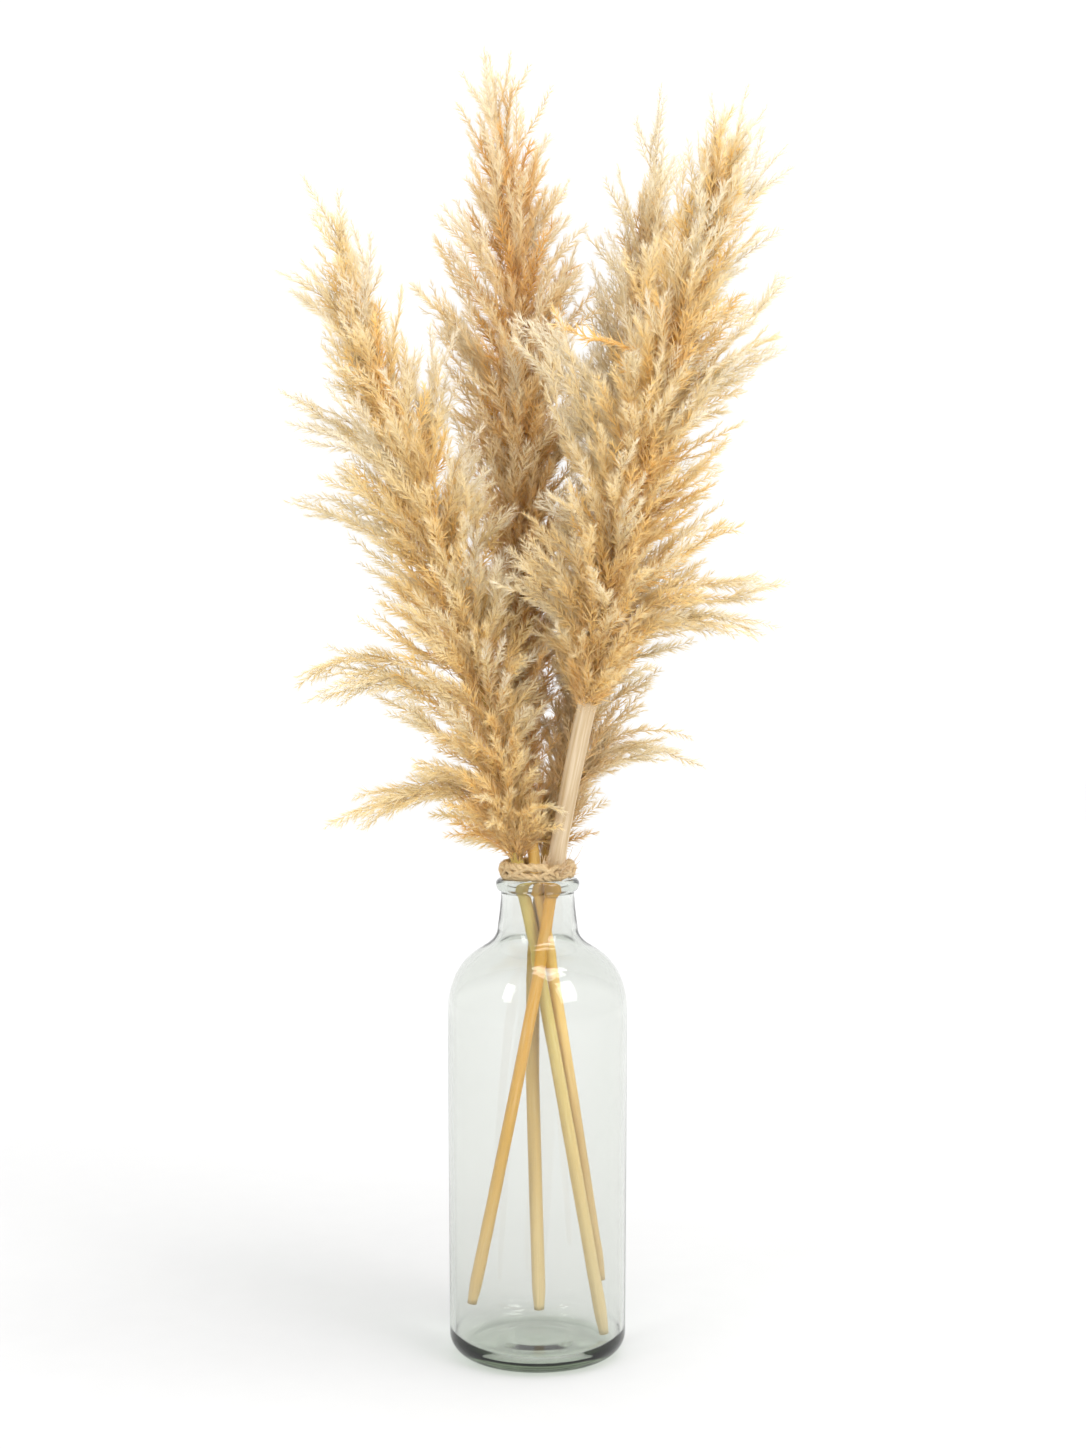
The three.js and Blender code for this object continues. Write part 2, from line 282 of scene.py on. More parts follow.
# %% Three soft lamps
LAMPS = {  # name: place, aim, width and height, watts
    "high_lamp": ((0.42, -0.30, 2.40), (0.0, 0.0, 0.45), (1.0, 1.0), 24),
    "right_lamp": ((1.25, -1.25, 1.40), (0.0, 0.0, 0.30), (0.80, 1.05), 15),
    "left_lamp": ((-1.2, -1.3, 1.30), (0.0, 0.0, 0.30), (0.42, 0.85), 7),
}
for name, (place, aim, size, power) in LAMPS.items():
    light = bpy.data.lights.new(name, "AREA")
    light.shape = "RECTANGLE"
    light.size, light.size_y = size
    light.energy = power
    lamp = add_object(name, light)
    lamp.location = place
    lamp.rotation_euler = turned_to(place, aim)
    print(name, power, "W")

# %% [markdown]
# ## Building meshes from numbers
# Most pieces here are a skin stretched over rows of points: a bottle is one row turned round an
# axis, a stalk is a ring carried along a line. These helpers make a mesh from arrays, and measure
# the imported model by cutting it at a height.

# %% Helpers for meshes
def new_piece(name, points, faces, material=None, smooth=True):
    mesh = bpy.data.meshes.new(name)
    mesh.from_pydata([tuple(p) for p in points], [], [tuple(int(i) for i in f) for f in faces])
    if material:
        mesh.materials.append(material)
    mesh.polygons.foreach_set("use_smooth", [smooth] * len(mesh.polygons))
    mesh.update()
    return add_object(name, mesh)


def store(mesh, name, values, kind="FLOAT_VECTOR"):
    """Keeps a vector or a number with every point of a mesh."""
    layer = mesh.attributes.new(name, kind, "POINT")
    layer.data.foreach_set("vector" if kind == "FLOAT_VECTOR" else "value",
                           np.asarray(values, dtype=np.float32).ravel())


def hand_over(piece, slot, *nodes):
    """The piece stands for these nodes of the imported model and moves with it."""
    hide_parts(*nodes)
    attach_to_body(piece, "root")
    triangles = sum(len(p.vertices) - 2 for p in piece.data.polygons)
    print(piece.name, "has", triangles, "triangles")


def cut_at(node, height):
    """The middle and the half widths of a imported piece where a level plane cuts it."""
    mesh = frame["nodes"][node].data
    points = np.empty(len(mesh.vertices) * 3)
    mesh.vertices.foreach_get("co", points)
    edges = np.empty(len(mesh.edges) * 2, dtype=int)
    mesh.edges.foreach_get("vertices", edges)
    ends = points.reshape(-1, 3)[edges.reshape(-1, 2)]
    low, high = ends[:, 0, 2], ends[:, 1, 2]
    crossing = (low - height) * (high - height) < 0
    a, b = ends[crossing, 0], ends[crossing, 1]
    if len(a) < 3:
        return None
    share = ((height - a[:, 2]) / (b[:, 2] - a[:, 2]))[:, None]
    met = a + (b - a) * share
    return (met.min(0) + met.max(0)) / 2, (met.max(0) - met.min(0)) / 2


# %% Helpers for lines
def unit(v):
    return v / np.maximum(np.linalg.norm(v, axis=-1, keepdims=True), 1e-12)


def level(angle):
    """The level direction at an angle."""
    return np.array((math.cos(angle), math.sin(angle), 0.0))


def bezier(p0, p1, p2, p3, t):
    """A curve that leaves p0 towards p1 and reaches p3 from p2."""
    return (1 - t) ** 3 * p0 + 3 * (1 - t) ** 2 * t * p1 + 3 * (1 - t) * t ** 2 * p2 + t ** 3 * p3


def run_along(line):
    """How far along a line each of its points lies."""
    return np.concatenate([[0], np.cumsum(np.linalg.norm(np.diff(line, axis=0), axis=1))])


def frames_along(line):
    """A tangent and two steady cross directions at each point of a line."""
    tangent = unit(np.gradient(line, axis=0))
    across = np.empty_like(line)
    side = np.cross(tangent[0], (0.0, 1.0, 0.0))
    if np.linalg.norm(side) < 0.2:
        side = np.cross(tangent[0], (1.0, 0.0, 0.0))
    side = side / np.linalg.norm(side)
    for i, t in enumerate(tangent):
        side = side - t * np.dot(side, t)
        side = side / np.linalg.norm(side)
        across[i] = side
    return tangent, across, np.cross(tangent, across)


def sweep(name, line, radii, sides, material, squeeze=None):
    """A closed round rod along a line, with a `grain` attribute that runs round and along it."""
    line = np.asarray(line, float)
    tangent, across, inward = frames_along(line)
    angle = np.linspace(0, 2 * np.pi, sides, endpoint=False)
    ring = np.cos(angle)[None, :, None] * across[:, None] + np.sin(angle)[None, :, None] * inward[:, None]
    grow = np.asarray(radii, float)[:, None, None]
    if squeeze is not None:
        grow = grow * squeeze[:, :, None]
    points = (line[:, None] + ring * grow).reshape(-1, 3)
    rows = len(line)
    faces = []
    for i in range(rows - 1):
        for j in range(sides):
            k = (j + 1) % sides
            faces.append((i * sides + j, i * sides + k, (i + 1) * sides + k, (i + 1) * sides + j))
    faces.append(tuple(range(sides - 1, -1, -1)))
    faces.append(tuple((rows - 1) * sides + j for j in range(sides)))
    piece = new_piece(name, points, faces, material)
    store(piece.data, "grain", np.stack([
        np.tile(np.cos(angle), rows), np.tile(np.sin(angle), rows),
        np.repeat(run_along(line), sides)], axis=1))
    return piece


def joined(pieces, name):
    """Several meshes as one piece."""
    with bpy.context.temp_override(
            active_object=pieces[0], object=pieces[0],
            selected_objects=pieces, selected_editable_objects=pieces):
        bpy.ops.object.join()
    pieces[0].name = name
    pieces[0].data.name = name
    return pieces[0]


vase_low, vase_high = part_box("glass_vase")
print("vase", round(2 * vase_high.x / MM, 1), "mm across and", round(vase_high.z / MM, 1), "mm high")

# %% [markdown]
# ## The glass bottle
# The bottle is blown glass, so its wall is even but never perfect: it has faint upright streaks and
# a thick floor with rings left by the mould. Its green-grey tint comes from depth of glass, so it is
# a colour that light loses on its way through the wall, not paint on the surface. Edges and the
# thick floor turn darker by themselves. The outline is drawn once and turned round the axis.

# %% Clear grey-green glass
GLASS_TINT = (0.940, 0.944, 0.934, 1.0)
SHADOW_TINT = (0.93, 0.95, 0.94, 1.0)
DEPTH_TINT = (0.54, 0.60, 0.50, 1.0)

glass = Finish("green_grey_glass")
streaks = glass.noise(glass.place(), 60.0, 2.0, 0.4, stretch=(1.0, 1.0, 0.06))
ripples = glass.noise(glass.place(), 14.0, 1.0, 0.4, stretch=(1.0, 1.0, 0.5))
glass_body = glass.principled(
    Base_Color=GLASS_TINT, Roughness=0.0, IOR=1.5, Transmission_Weight=1.0,
    Normal=glass.bump(streaks * 0.5 + ripples, 0.10, 0.002))
lamp_light = glass.node("ShaderNodeBsdfTransparent", {}, {"Color": SHADOW_TINT})
is_shadow = glass.node("ShaderNodeLightPath", output=1)
glass_skin = glass.node("ShaderNodeMixShader", {}, {0: is_shadow, 1: glass_body, 2: lamp_light})
glass_depth = glass.node("ShaderNodeVolumeAbsorption", {}, {"Color": DEPTH_TINT, "Density": 44.0})
clear_glass = glass.surface(glass_skin, glass_depth)

# %% [markdown]
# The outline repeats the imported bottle's own construction: a straight side, a round shoulder that
# turns hollow into the neck, and a rolled lip. Only the steps between its points are finer, and the
# floor gets a shallow dome and rings.

# %% The bottle's sizes, in millimetres
BODY_RADIUS = vase_high.x / MM
VASE_HEIGHT = vase_high.z / MM
SIDE_TAPER = 1.1
HEEL_ROUNDING = 13
BODY_WALL = 3
FLOOR_HEIGHT = 7.2
FLOOR_DOME = 2.2
MOULD_RING = 0.16
SHOULDER_DEPTH = 85
SHOULDER_RISE = 41
SHOULDER_FULLNESS = 22
TURN_INSET = 20.7
TURN_RUN = 12
TURN_DROP = 7
NECK_LENGTH = 30
NECK_WALL = 2.8
NECK_FLARE = 2.4
LIP_ROUNDING = 3.15
LIP_DEPTH = 8
LIP_SWELL = 0.4
MOUTH_RADIUS = 19.96
BOTTLE_SIDES = 160
print("walls are", BODY_WALL, "mm thick at the side and", NECK_WALL, "mm at the neck")


# %% Draw the outline
def bent(p0, p1, p2, p3, steps):
    """Points of a curve, without its first one."""
    corners = (np.array(p, float) for p in (p0, p1, p2, p3))
    return list(bezier(*corners, np.linspace(0, 1, steps + 1)[1:, None]))


def rounded(centre, radius, start, end, steps):
    """Points of an arc, without its first one."""
    a = np.radians(np.linspace(start, end, steps + 1))
    return list(np.stack([centre[0] + radius * np.cos(a), centre[1] + radius * np.sin(a)], axis=1))[1:]


def wall_line(inset):
    """The side, the shoulder and its turn into the neck, for the outer or the inner wall."""
    side = BODY_RADIUS - inset
    side_top = VASE_HEIGHT - SHOULDER_DEPTH - inset / 2
    turn = side - TURN_INSET
    turn_height = VASE_HEIGHT - SHOULDER_DEPTH + SHOULDER_RISE - inset
    neck = MOUTH_RADIUS + NECK_WALL + NECK_FLARE - inset
    neck_foot = VASE_HEIGHT - NECK_LENGTH - inset / 2
    line = [np.array((side, side_top))]
    line += bent((side, side_top), (side, side_top + SHOULDER_FULLNESS),
                 (turn + TURN_RUN, turn_height - TURN_DROP), (turn, turn_height), 18)
    line += bent((turn, turn_height), (turn - TURN_RUN / 2, turn_height + TURN_DROP / 2),
                 (neck, neck_foot - TURN_DROP), (neck, neck_foot), 14)
    return line


flat = BODY_RADIUS - SIDE_TAPER - HEEL_ROUNDING
neck_radius = MOUTH_RADIUS + NECK_WALL
lip_radius = MOUTH_RADIUS + 2 * LIP_ROUNDING
lip_centre = VASE_HEIGHT - LIP_ROUNDING
lip_foot = VASE_HEIGHT - LIP_DEPTH

outer = [np.array((r, 0.0)) for r in np.linspace(0, flat, 14)]
outer += rounded((flat, HEEL_ROUNDING), HEEL_ROUNDING, -90, 0, 14)
outer += wall_line(0)
outer += bent((neck_radius + NECK_FLARE, VASE_HEIGHT - NECK_LENGTH),
              (neck_radius + NECK_FLARE / 2, VASE_HEIGHT - 22),
              (neck_radius, lip_foot - 3), (neck_radius + LIP_SWELL, lip_foot), 8)
outer += bent((neck_radius + LIP_SWELL, lip_foot), (lip_radius - 1.2, lip_foot + LIP_SWELL),
              (lip_radius, lip_foot + 2.0), (lip_radius, lip_centre), 8)
outer += rounded((MOUTH_RADIUS + LIP_ROUNDING, lip_centre), LIP_ROUNDING, 0, 180, 16)

inner_rounding = HEEL_ROUNDING - BODY_WALL
inner = []
for r in np.linspace(0, flat, 42):
    dome = FLOOR_DOME * (1 - (r / flat) ** 2)
    rings = MOULD_RING * math.cos(r / 3.1) * math.exp(-((r - 22) / 12) ** 2)
    inner.append(np.array((r, FLOOR_HEIGHT + dome + rings)))
inner += rounded((flat, FLOOR_HEIGHT + inner_rounding), inner_rounding, -90, 0, 12)
inner += wall_line(BODY_WALL)
outline = np.array(outer + inner[::-1])
apart = np.linalg.norm(np.diff(outline, axis=0), axis=1) > 0.02
outline = outline[np.concatenate([[True], apart])]
print("the outline has", len(outline), "points")

# %% Turn the bottle
rows = len(outline)
turns = np.linspace(0, 2 * np.pi, BOTTLE_SIDES, endpoint=False)
points = [np.array((0.0, 0.0, outline[0, 1] * MM))]
for r, z in outline[1:-1]:
    wobble = 1 + 0.0012 * np.sin(2 * turns + z / 40) + 0.0008 * np.sin(5 * turns - z / 25)
    points += list(np.stack([r * wobble * np.cos(turns) * MM, r * wobble * np.sin(turns) * MM,
                             np.full(BOTTLE_SIDES, z * MM)], axis=1))
points.append(np.array((0.0, 0.0, outline[-1, 1] * MM)))
last_ring = 1 + (rows - 3) * BOTTLE_SIDES
faces = []
for j in range(BOTTLE_SIDES):
    k = (j + 1) % BOTTLE_SIDES
    faces.append((0, 1 + k, 1 + j))
    for a in range(1, last_ring, BOTTLE_SIDES):
        b = a + BOTTLE_SIDES
        faces.append((a + j, a + k, b + k, b + j))
    faces.append((last_ring + j, last_ring + k, len(points) - 1))
bottle = new_piece("bottle", points, faces, clear_glass)
hand_over(bottle, "glass", "glass_vase")

# %% [markdown]
# ## The stalks
# A pampas stalk is a straight woody straw with fine fibres that run its whole length. These dried
# ones are amber near the tie and pale towards their cut feet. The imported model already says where
# each runs, so its middle is measured by cutting it at many heights.

# %% Straw with long fibres
FIBRE_BROWN = (0.34, 0.20, 0.06)
PALE_PATCH = (0.86, 0.72, 0.42)


def straw_finish(name, foot, middle, neck):
    straw = Finish(name)
    along_straw = straw.attribute("grain")
    height = straw.part(straw.place(), 2)
    fibres = straw.noise(along_straw, 7.0, 4.0, 0.6, stretch=(1.0, 1.0, 2.5))
    patches = straw.noise(along_straw, 1.6, 3.0, 0.5, stretch=(1.0, 1.0, 14.0))
    by_height = straw.span(height + patches * 0.08, 0.05, 0.32)
    base = straw.ramp(by_height, [(0.0, foot), (0.45, middle), (0.78, neck), (1.0, neck)])
    dark = straw.mix(base, FIBRE_BROWN, straw.span(fibres, 0.52, 0.80, 0.0, 0.5))
    return straw.surface(straw.principled(
        Base_Color=straw.mix(dark, PALE_PATCH, straw.span(patches, 0.55, 0.75, 0.0, 0.3)),
        Roughness=straw.span(fibres, 0.3, 0.7, 0.30, 0.5), Specular_IOR_Level=0.45,
        Normal=straw.bump(fibres, 0.35, 0.0004)))


STRAW = {which: straw_finish("straw_" + which, *colours) for which, colours in {
    "left": ((0.80, 0.63, 0.36), (0.74, 0.53, 0.20), (0.66, 0.50, 0.14)),
    "centre": ((0.79, 0.60, 0.33), (0.70, 0.47, 0.19), (0.92, 0.60, 0.17)),
    # The right stalk stands behind the others, and its darker neck colour is a painted shade.
    "right": ((0.80, 0.63, 0.36), (0.74, 0.51, 0.19), (0.50, 0.33, 0.09)),
    "front": ((0.80, 0.60, 0.31), (0.72, 0.40, 0.06), (0.74, 0.37, 0.04)),
}.items()}

# %% Carry a ring along each stalk
STALK_SEEDS = {"left": 3, "centre": 5, "right": 7, "front": 11}
STALK_SIDES = 20
FOOT_LENGTH = 0.0035


def centreline(node, step=0.004):
    """The middle line of a packed stalk and its half width, from its foot to its tip."""
    low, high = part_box(node)
    heights = np.arange(low.z + 0.004, high.z - 0.001, step)
    cuts = [cut_at(node, float(z)) for z in heights]
    found = [(c[0], min(c[1][0], c[1][1])) for c in cuts if c is not None]
    return np.array([f[0] for f in found]), np.array([f[1] for f in found])


stalk_lines = {}
for which, seed in STALK_SEEDS.items():
    line, radius = centreline("stem_" + which)
    stalk_lines[which] = line
    foot = line[0] - unit(line[3] - line[0]) * FOOT_LENGTH
    phases = np.random.default_rng(seed).uniform(0, 6, STALK_SIDES)
    squeeze = 1 + 0.035 * np.sin(np.linspace(0, 9, len(line) + 1)[:, None] + phases[None, :])
    squeeze[:, ::2] *= 0.985
    radius = np.concatenate([[radius[0] * 0.93], radius])
    stalk = sweep("stalk_" + which, np.vstack([foot, line]), radius, STALK_SIDES, STRAW[which], squeeze)
    hand_over(stalk, "straw", "stem_" + which)

# %% [markdown]
# ## The leaf sheath
# The top leaf of a pampas stalk wraps it like a paper tube and ends in a thin collar under the
# plume. It is a rolled sheet: it goes more than once round, so one edge lies over the other. It is
# blotched straw-brown with darker veins along it, and where it dips into the neck it is painted a
# darker amber, a painted shade of the bottle's neck.

# %% Papery leaf
leaf = Finish("papery_leaf")
along_leaf = leaf.attribute("grain")
leaf_height = leaf.part(leaf.place(), 2)
veins = leaf.noise(along_leaf, 16.0, 2.0, 0.5, stretch=(1.0, 1.0, 0.35))
blotches = leaf.noise(along_leaf, 2.2, 3.0, 0.55, stretch=(1.0, 1.0, 9.0))
leaf_base = leaf.mix((0.66, 0.53, 0.36), (0.50, 0.36, 0.20), leaf.span(blotches, 0.42, 0.66))
leaf_veined = leaf.mix(leaf_base, (0.46, 0.30, 0.14), leaf.span(veins, 0.50, 0.75, 0.0, 0.5))
papery_leaf = leaf.surface(leaf.principled(
    # Below the bottle's rim the leaf is painted a darker amber: a painted shade of the neck.
    Base_Color=leaf.mix((0.72, 0.38, 0.05), leaf_veined, leaf.span(leaf_height, 0.300, 0.311)),
    Roughness=0.5, Specular_IOR_Level=0.35, Normal=leaf.bump(veins, 0.3, 0.0003)))

# %% Roll the leaf round the front stalk
LEAF_TURN = 1.22
LEAF_SKIN = 0.0004
LEAF_LENGTH = 0.118
LEAF_STEPS = 60
LEAF_BORE = 0.00415
LEAF_ROOM = 0.0004
LEAF_SPIRAL = 0.0007
LEAF_SEAM = 2.4

leaf_low, leaf_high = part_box("leaf_sheath")
front_line, _ = centreline("stem_front", 0.003)
inside = (front_line[:, 2] > leaf_low.z - 0.002) & (front_line[:, 2] < leaf_high.z + 0.004)
leaf_line = front_line[inside]
rows = len(leaf_line)
tangent, across, inward = frames_along(leaf_line)
wrap = np.linspace(0, 2 * np.pi * LEAF_TURN, LEAF_STEPS)
t = np.linspace(0, 1, rows)
points, grain = [], []
for skin in (0.0, LEAF_SKIN):
    for i in range(rows):
        flare = 0.0007 * t[i] + 0.0005 * max(0.0, (t[i] - 0.94) / 0.06) ** 2
        tight = min(1.0, 0.1 + t[i] / 0.10)
        for a in wrap:
            spiral = LEAF_SPIRAL * a / (2 * np.pi)
            radius = LEAF_BORE + (LEAF_ROOM + skin + spiral) * tight + flare
            slant = 0.004 * math.sin(a * 0.5) * t[i]
            angle = a - LEAF_SEAM
            points.append(leaf_line[i] + tangent[i] * slant
                          + radius * (math.cos(angle) * across[i] + math.sin(angle) * inward[i]))
            grain.append((math.cos(a / LEAF_TURN), math.sin(a / LEAF_TURN), t[i] * LEAF_LENGTH))
per_skin = rows * LEAF_STEPS
faces = []
for i in range(rows - 1):
    for j in range(LEAF_STEPS - 1):
        a = i * LEAF_STEPS + j
        b = a + LEAF_STEPS
        faces.append((a, b, b + 1, a + 1))
        faces.append((per_skin + a, per_skin + a + 1, per_skin + b + 1, per_skin + b))
edge = [i * LEAF_STEPS for i in range(rows)]
edge += [(rows - 1) * LEAF_STEPS + j for j in range(1, LEAF_STEPS)]
edge += [i * LEAF_STEPS + LEAF_STEPS - 1 for i in range(rows - 2, -1, -1)]
edge += list(range(LEAF_STEPS - 2, 0, -1))
for a, b in zip(edge, edge[1:] + edge[:1]):
    faces.append((a, per_skin + a, per_skin + b, b))
leaf_wrap = new_piece("leaf_wrap", points, faces, papery_leaf)
store(leaf_wrap.data, "grain", grain)
hand_over(leaf_wrap, "pale_leaf", "leaf_sheath")

# %% [markdown]
# ## The twine
# Jute twine is three strands laid round each other. Each strand is carried along a path that winds
# round the twine's own middle line, which itself winds round the bundle in almost two turns. Looser
# strands wander over both turns and lace them together. Fibres stand off it all, and its ends fray
# beside a small knot.

# %% Tan jute
jute = Finish("tan_jute")
along_jute = jute.attribute("grain")
lay = jute.noise(along_jute, 5.0, 3.0, 0.6, stretch=(1.0, 1.0, 160.0))
thread = jute.noise(along_jute, 9.0, 2.0, 0.6, stretch=(2.2, 2.2, 40.0))
jute_base = jute.mix((0.58, 0.39, 0.18), (0.86, 0.68, 0.42), jute.span(thread, 0.38, 0.66))
tan_jute = jute.surface(jute.principled(
    Base_Color=jute.mix(jute_base, (0.26, 0.14, 0.06), jute.span(lay, 0.52, 0.72, 0.0, 0.65)),
    Roughness=0.85, Specular_IOR_Level=0.2, Normal=jute.bump(thread + lay * 0.5, 0.7, 0.0006)))

# %% The twine's own middle line
TWINE_TURNS = 1.8
TWINE_CLIMB = 0.18
TWINE_SLACK = 0.0004
twine_low, twine_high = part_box("tie_twine")
twine_radius = (twine_high.z - twine_low.z) / 4 - 0.00008
ring_radius = (twine_high.x - twine_low.x) / 2 - twine_radius
seat = twine_low.z + twine_radius
climb_height = twine_high.z - twine_low.z - 2 * twine_radius
print("the twine is", round(2 * twine_radius / MM, 2), "mm thick")


def twine_middle(turn):
    part = np.clip((turn % 1 - (1 - TWINE_CLIMB)) / TWINE_CLIMB, 0, 1)
    lift = np.floor(turn) + part * part * (3 - 2 * part)
    a = 2 * np.pi * turn
    slack = TWINE_SLACK * np.sin(3 * a + 1.0)
    return np.stack([ring_radius * np.cos(a), ring_radius * np.sin(a),
                     seat + climb_height * lift + slack], axis=-1)


# %% Three strands, laid round each other
STRAND_LAY = 0.0150
STRAND_STEPS = 560
STRAND_SIDES = 10

middle = twine_middle(np.linspace(0.0, TWINE_TURNS, STRAND_STEPS))
tangent, across, inward = frames_along(middle)
run = run_along(middle)
rng = np.random.default_rng(21)
strands = []
for s in range(3):
    spin = 2 * np.pi * (run / STRAND_LAY + s / 3) + 0.3 * np.sin(run * 240 + s)
    off = twine_radius * (0.55 + 0.06 * np.sin(run * 310 + 2.1 * s))
    line = middle + off[:, None] * (np.cos(spin)[:, None] * across + np.sin(spin)[:, None] * inward)
    swell = twine_radius * (0.50 + 0.09 * np.sin(run * 430 + 2 * s) + 0.05 * np.sin(run * 1310 + s)
                            + rng.normal(0, 0.012, STRAND_STEPS))
    swell[:4] *= np.linspace(0.3, 1, 4)
    swell[-4:] *= np.linspace(1, 0.3, 4)
    strands.append(sweep(f"strand_{s}", line, swell, STRAND_SIDES, tan_jute))
print("each strand turns", round(run[-1] / STRAND_LAY, 1), "times")

# %% Looser strands that lace both turns
LACINGS = ((5.0, 0.4, 0.46), (4.0, 2.2, 0.52), (3.0, 4.3, 0.42))  # waves, phase, thickness

for s, (waves, phase, thickness) in enumerate(LACINGS):
    a = np.linspace(0.15, 2 * np.pi + 0.1, 420)
    weave = np.sin(waves * a + phase + 0.5 * np.sin(2 * a + s))
    reach = ring_radius + twine_radius * (0.84 - 0.46 * np.abs(weave) ** 3)
    rise = seat + climb_height * (0.5 + 0.60 * weave)
    line = np.stack([reach * np.cos(a), reach * np.sin(a), rise], axis=1)
    swell = twine_radius * (thickness + 0.13 * np.sin(2 * waves * a + s) + 0.04 * np.sin(37 * a + s))
    strands.append(sweep(f"lacing_{s}", line, swell, 8, tan_jute))
print(len(LACINGS), "lacing strands")

# %% A small knot on the front right
KNOT_ANGLE = -0.95
KNOT_STEPS = 90
KNOT_STRAND = 0.00125

u = np.linspace(0, 2 * np.pi, KNOT_STEPS)
out = unit(level(KNOT_ANGLE))
sideways = np.array((-out[1], out[0], 0.0))
knot_at = level(KNOT_ANGLE) * ring_radius + (0.0, 0.0, seat + climb_height * 0.55)
knot = (knot_at + out * 0.0022
        + np.outer(np.sin(u) + 2 * np.sin(2 * u), sideways) * 0.0016
        + np.outer(np.cos(u) - 2 * np.cos(2 * u), (0, 0, 1)) * 0.0014
        + np.outer(np.sin(3 * u), out) * 0.0012)
strands.append(sweep("knot", knot[:-1], np.full(KNOT_STEPS - 1, KNOT_STRAND), 9, tan_jute))
twine = joined(strands, "twine")
hand_over(twine, "jute", "tie_twine")

# %% [markdown]
# Fibres that stand off the twine are the kind of thing Geometry Nodes do well: points are scattered
# over a surface and a tiny needle is put on each, leaning a random way. The needles keep a map of
# their own, because the feathers further on are made of them too: its first number is a shade tone,
# which in the feathers carries their painted shade, its second runs from a needle's foot to its tip.

# %% A needle
def needle_mesh(name, hairs):
    """Closed three-sided slivers: each is (foot, tip, half width, shade tone)."""
    points, faces, uv = [], [], []
    for foot, tip, half, tone in hairs:
        foot, tip = np.array(foot, float), np.array(tip, float)
        d = unit(tip - foot)
        side = unit(np.cross(d, (0.31, 0.52, 0.79)))
        up = np.cross(d, side)
        n = len(points)
        for a in (0.0, 2.0944, 4.18879):
            points.append(foot + half * (math.cos(a) * side + math.sin(a) * up))
        points.append(tip)
        faces += [(n, n + 1, n + 3), (n + 1, n + 2, n + 3), (n + 2, n, n + 3), (n + 2, n + 1, n)]
        uv += [(tone, 0.0), (tone + 0.3, 0.0), (tone + 0.15, 1.0)] * 3
        uv += [(tone, 0.0), (tone + 0.3, 0.0), (tone + 0.15, 0.1)]
    made = new_piece(name, points, faces, smooth=False)
    layer = made.data.uv_layers.new(name="hair")
    layer.data.foreach_set("uv", np.array(uv, dtype=np.float32).ravel())
    return made


one_fibre = needle_mesh("one_fibre", [((0, 0, 0), (0.18, 0.05, 1.0), 0.035, 0.2)])
print("a needle has", len(one_fibre.data.polygons), "faces")


# %% A Geometry Nodes tree with named inputs
class Grower(Nodes):
    """Grows something on a sketch of points, edges or faces."""

    def __init__(self, name, *wanted):
        """Each wanted input is (name, kind)."""
        super().__init__(bpy.data.node_groups.new(name, "GeometryNodeTree"))
        for way in ("INPUT", "OUTPUT"):
            self.tree.interface.new_socket("Geometry", in_out=way, socket_type="NodeSocketGeometry")
        for title, kind in wanted:
            self.tree.interface.new_socket(title, in_out="INPUT", socket_type="NodeSocket" + kind)
        start = self.tree.nodes.new("NodeGroupInput")
        self.end = self.tree.nodes.new("NodeGroupOutput")
        self.sketch, *self.inputs = [Wire(self, socket) for socket in start.outputs][:len(wanted) + 1]

    def named(self, name, kind="FLOAT"):
        """What the sketch keeps at each point under a name."""
        return self.node("GeometryNodeInputNamedAttribute", {"data_type": kind}, {"Name": name})

    def random(self, seed, low, high, kind="FLOAT"):
        """A random number or vector for each point."""
        first, output = (2, 1) if kind == "FLOAT" else (0, 0)
        return self.node("FunctionNodeRandomValue", {"data_type": kind},
                         {first: low, first + 1: high, "Seed": seed}, output)

    def turned(self, rotation, turn):
        return self.node("FunctionNodeRotateRotation", {"rotation_space": "LOCAL"},
                         {"Rotation": rotation, "Rotate By": turn})

    def capture(self, geometry, name, value):
        """Keeps a value with the geometry. Output 1 gives it back."""
        made = self.tree.nodes.new("GeometryNodeCaptureAttribute")
        made.capture_items.new("FLOAT", name)
        self.tree.links.new(geometry.socket, made.inputs[0])
        self.tree.links.new(value.socket, made.inputs[1])
        return Wire(self, made.outputs[0])

    def keep_map(self, geometry, x, y):
        """Stores the map that the fluff's colours follow."""
        both = self.node("ShaderNodeCombineXYZ", {}, {0: x, 1: y})
        return self.node("GeometryNodeStoreNamedAttribute", {"data_type": "FLOAT2", "domain": "CORNER"},
                         {"Geometry": geometry, "Name": "OFBake", "Value": both})

    def finish(self, geometry, material):
        """Ends the tree with a plain mesh in one material."""
        whole = self.node("GeometryNodeRealizeInstances", {}, {0: geometry})
        whole = self.node("GeometryNodeSetMaterial", {}, {"Geometry": whole, "Material": material})
        self.tree.links.new(whole.socket, self.end.inputs[0])
        print("tree", self.tree.name, "has", len(self.tree.nodes), "nodes")

    def apply(self, piece, values, name):
        """Runs the tree on a piece and keeps the result as a plain mesh of its own."""
        modifier = piece.modifiers.new(name, "NODES")
        modifier.node_group = self.tree
        sockets = {s.name: s.identifier for s in self.tree.interface.items_tree if s.in_out == "INPUT"}
        for key, value in values.items():
            modifier[sockets[key]] = value
        piece.update_tag()
        bpy.context.view_layer.update()
        shown = piece.evaluated_get(bpy.context.evaluated_depsgraph_get())
        result = add_object(name, bpy.data.meshes.new_from_object(shown))
        result.data.name = name
        bpy.data.objects.remove(piece)
        return result


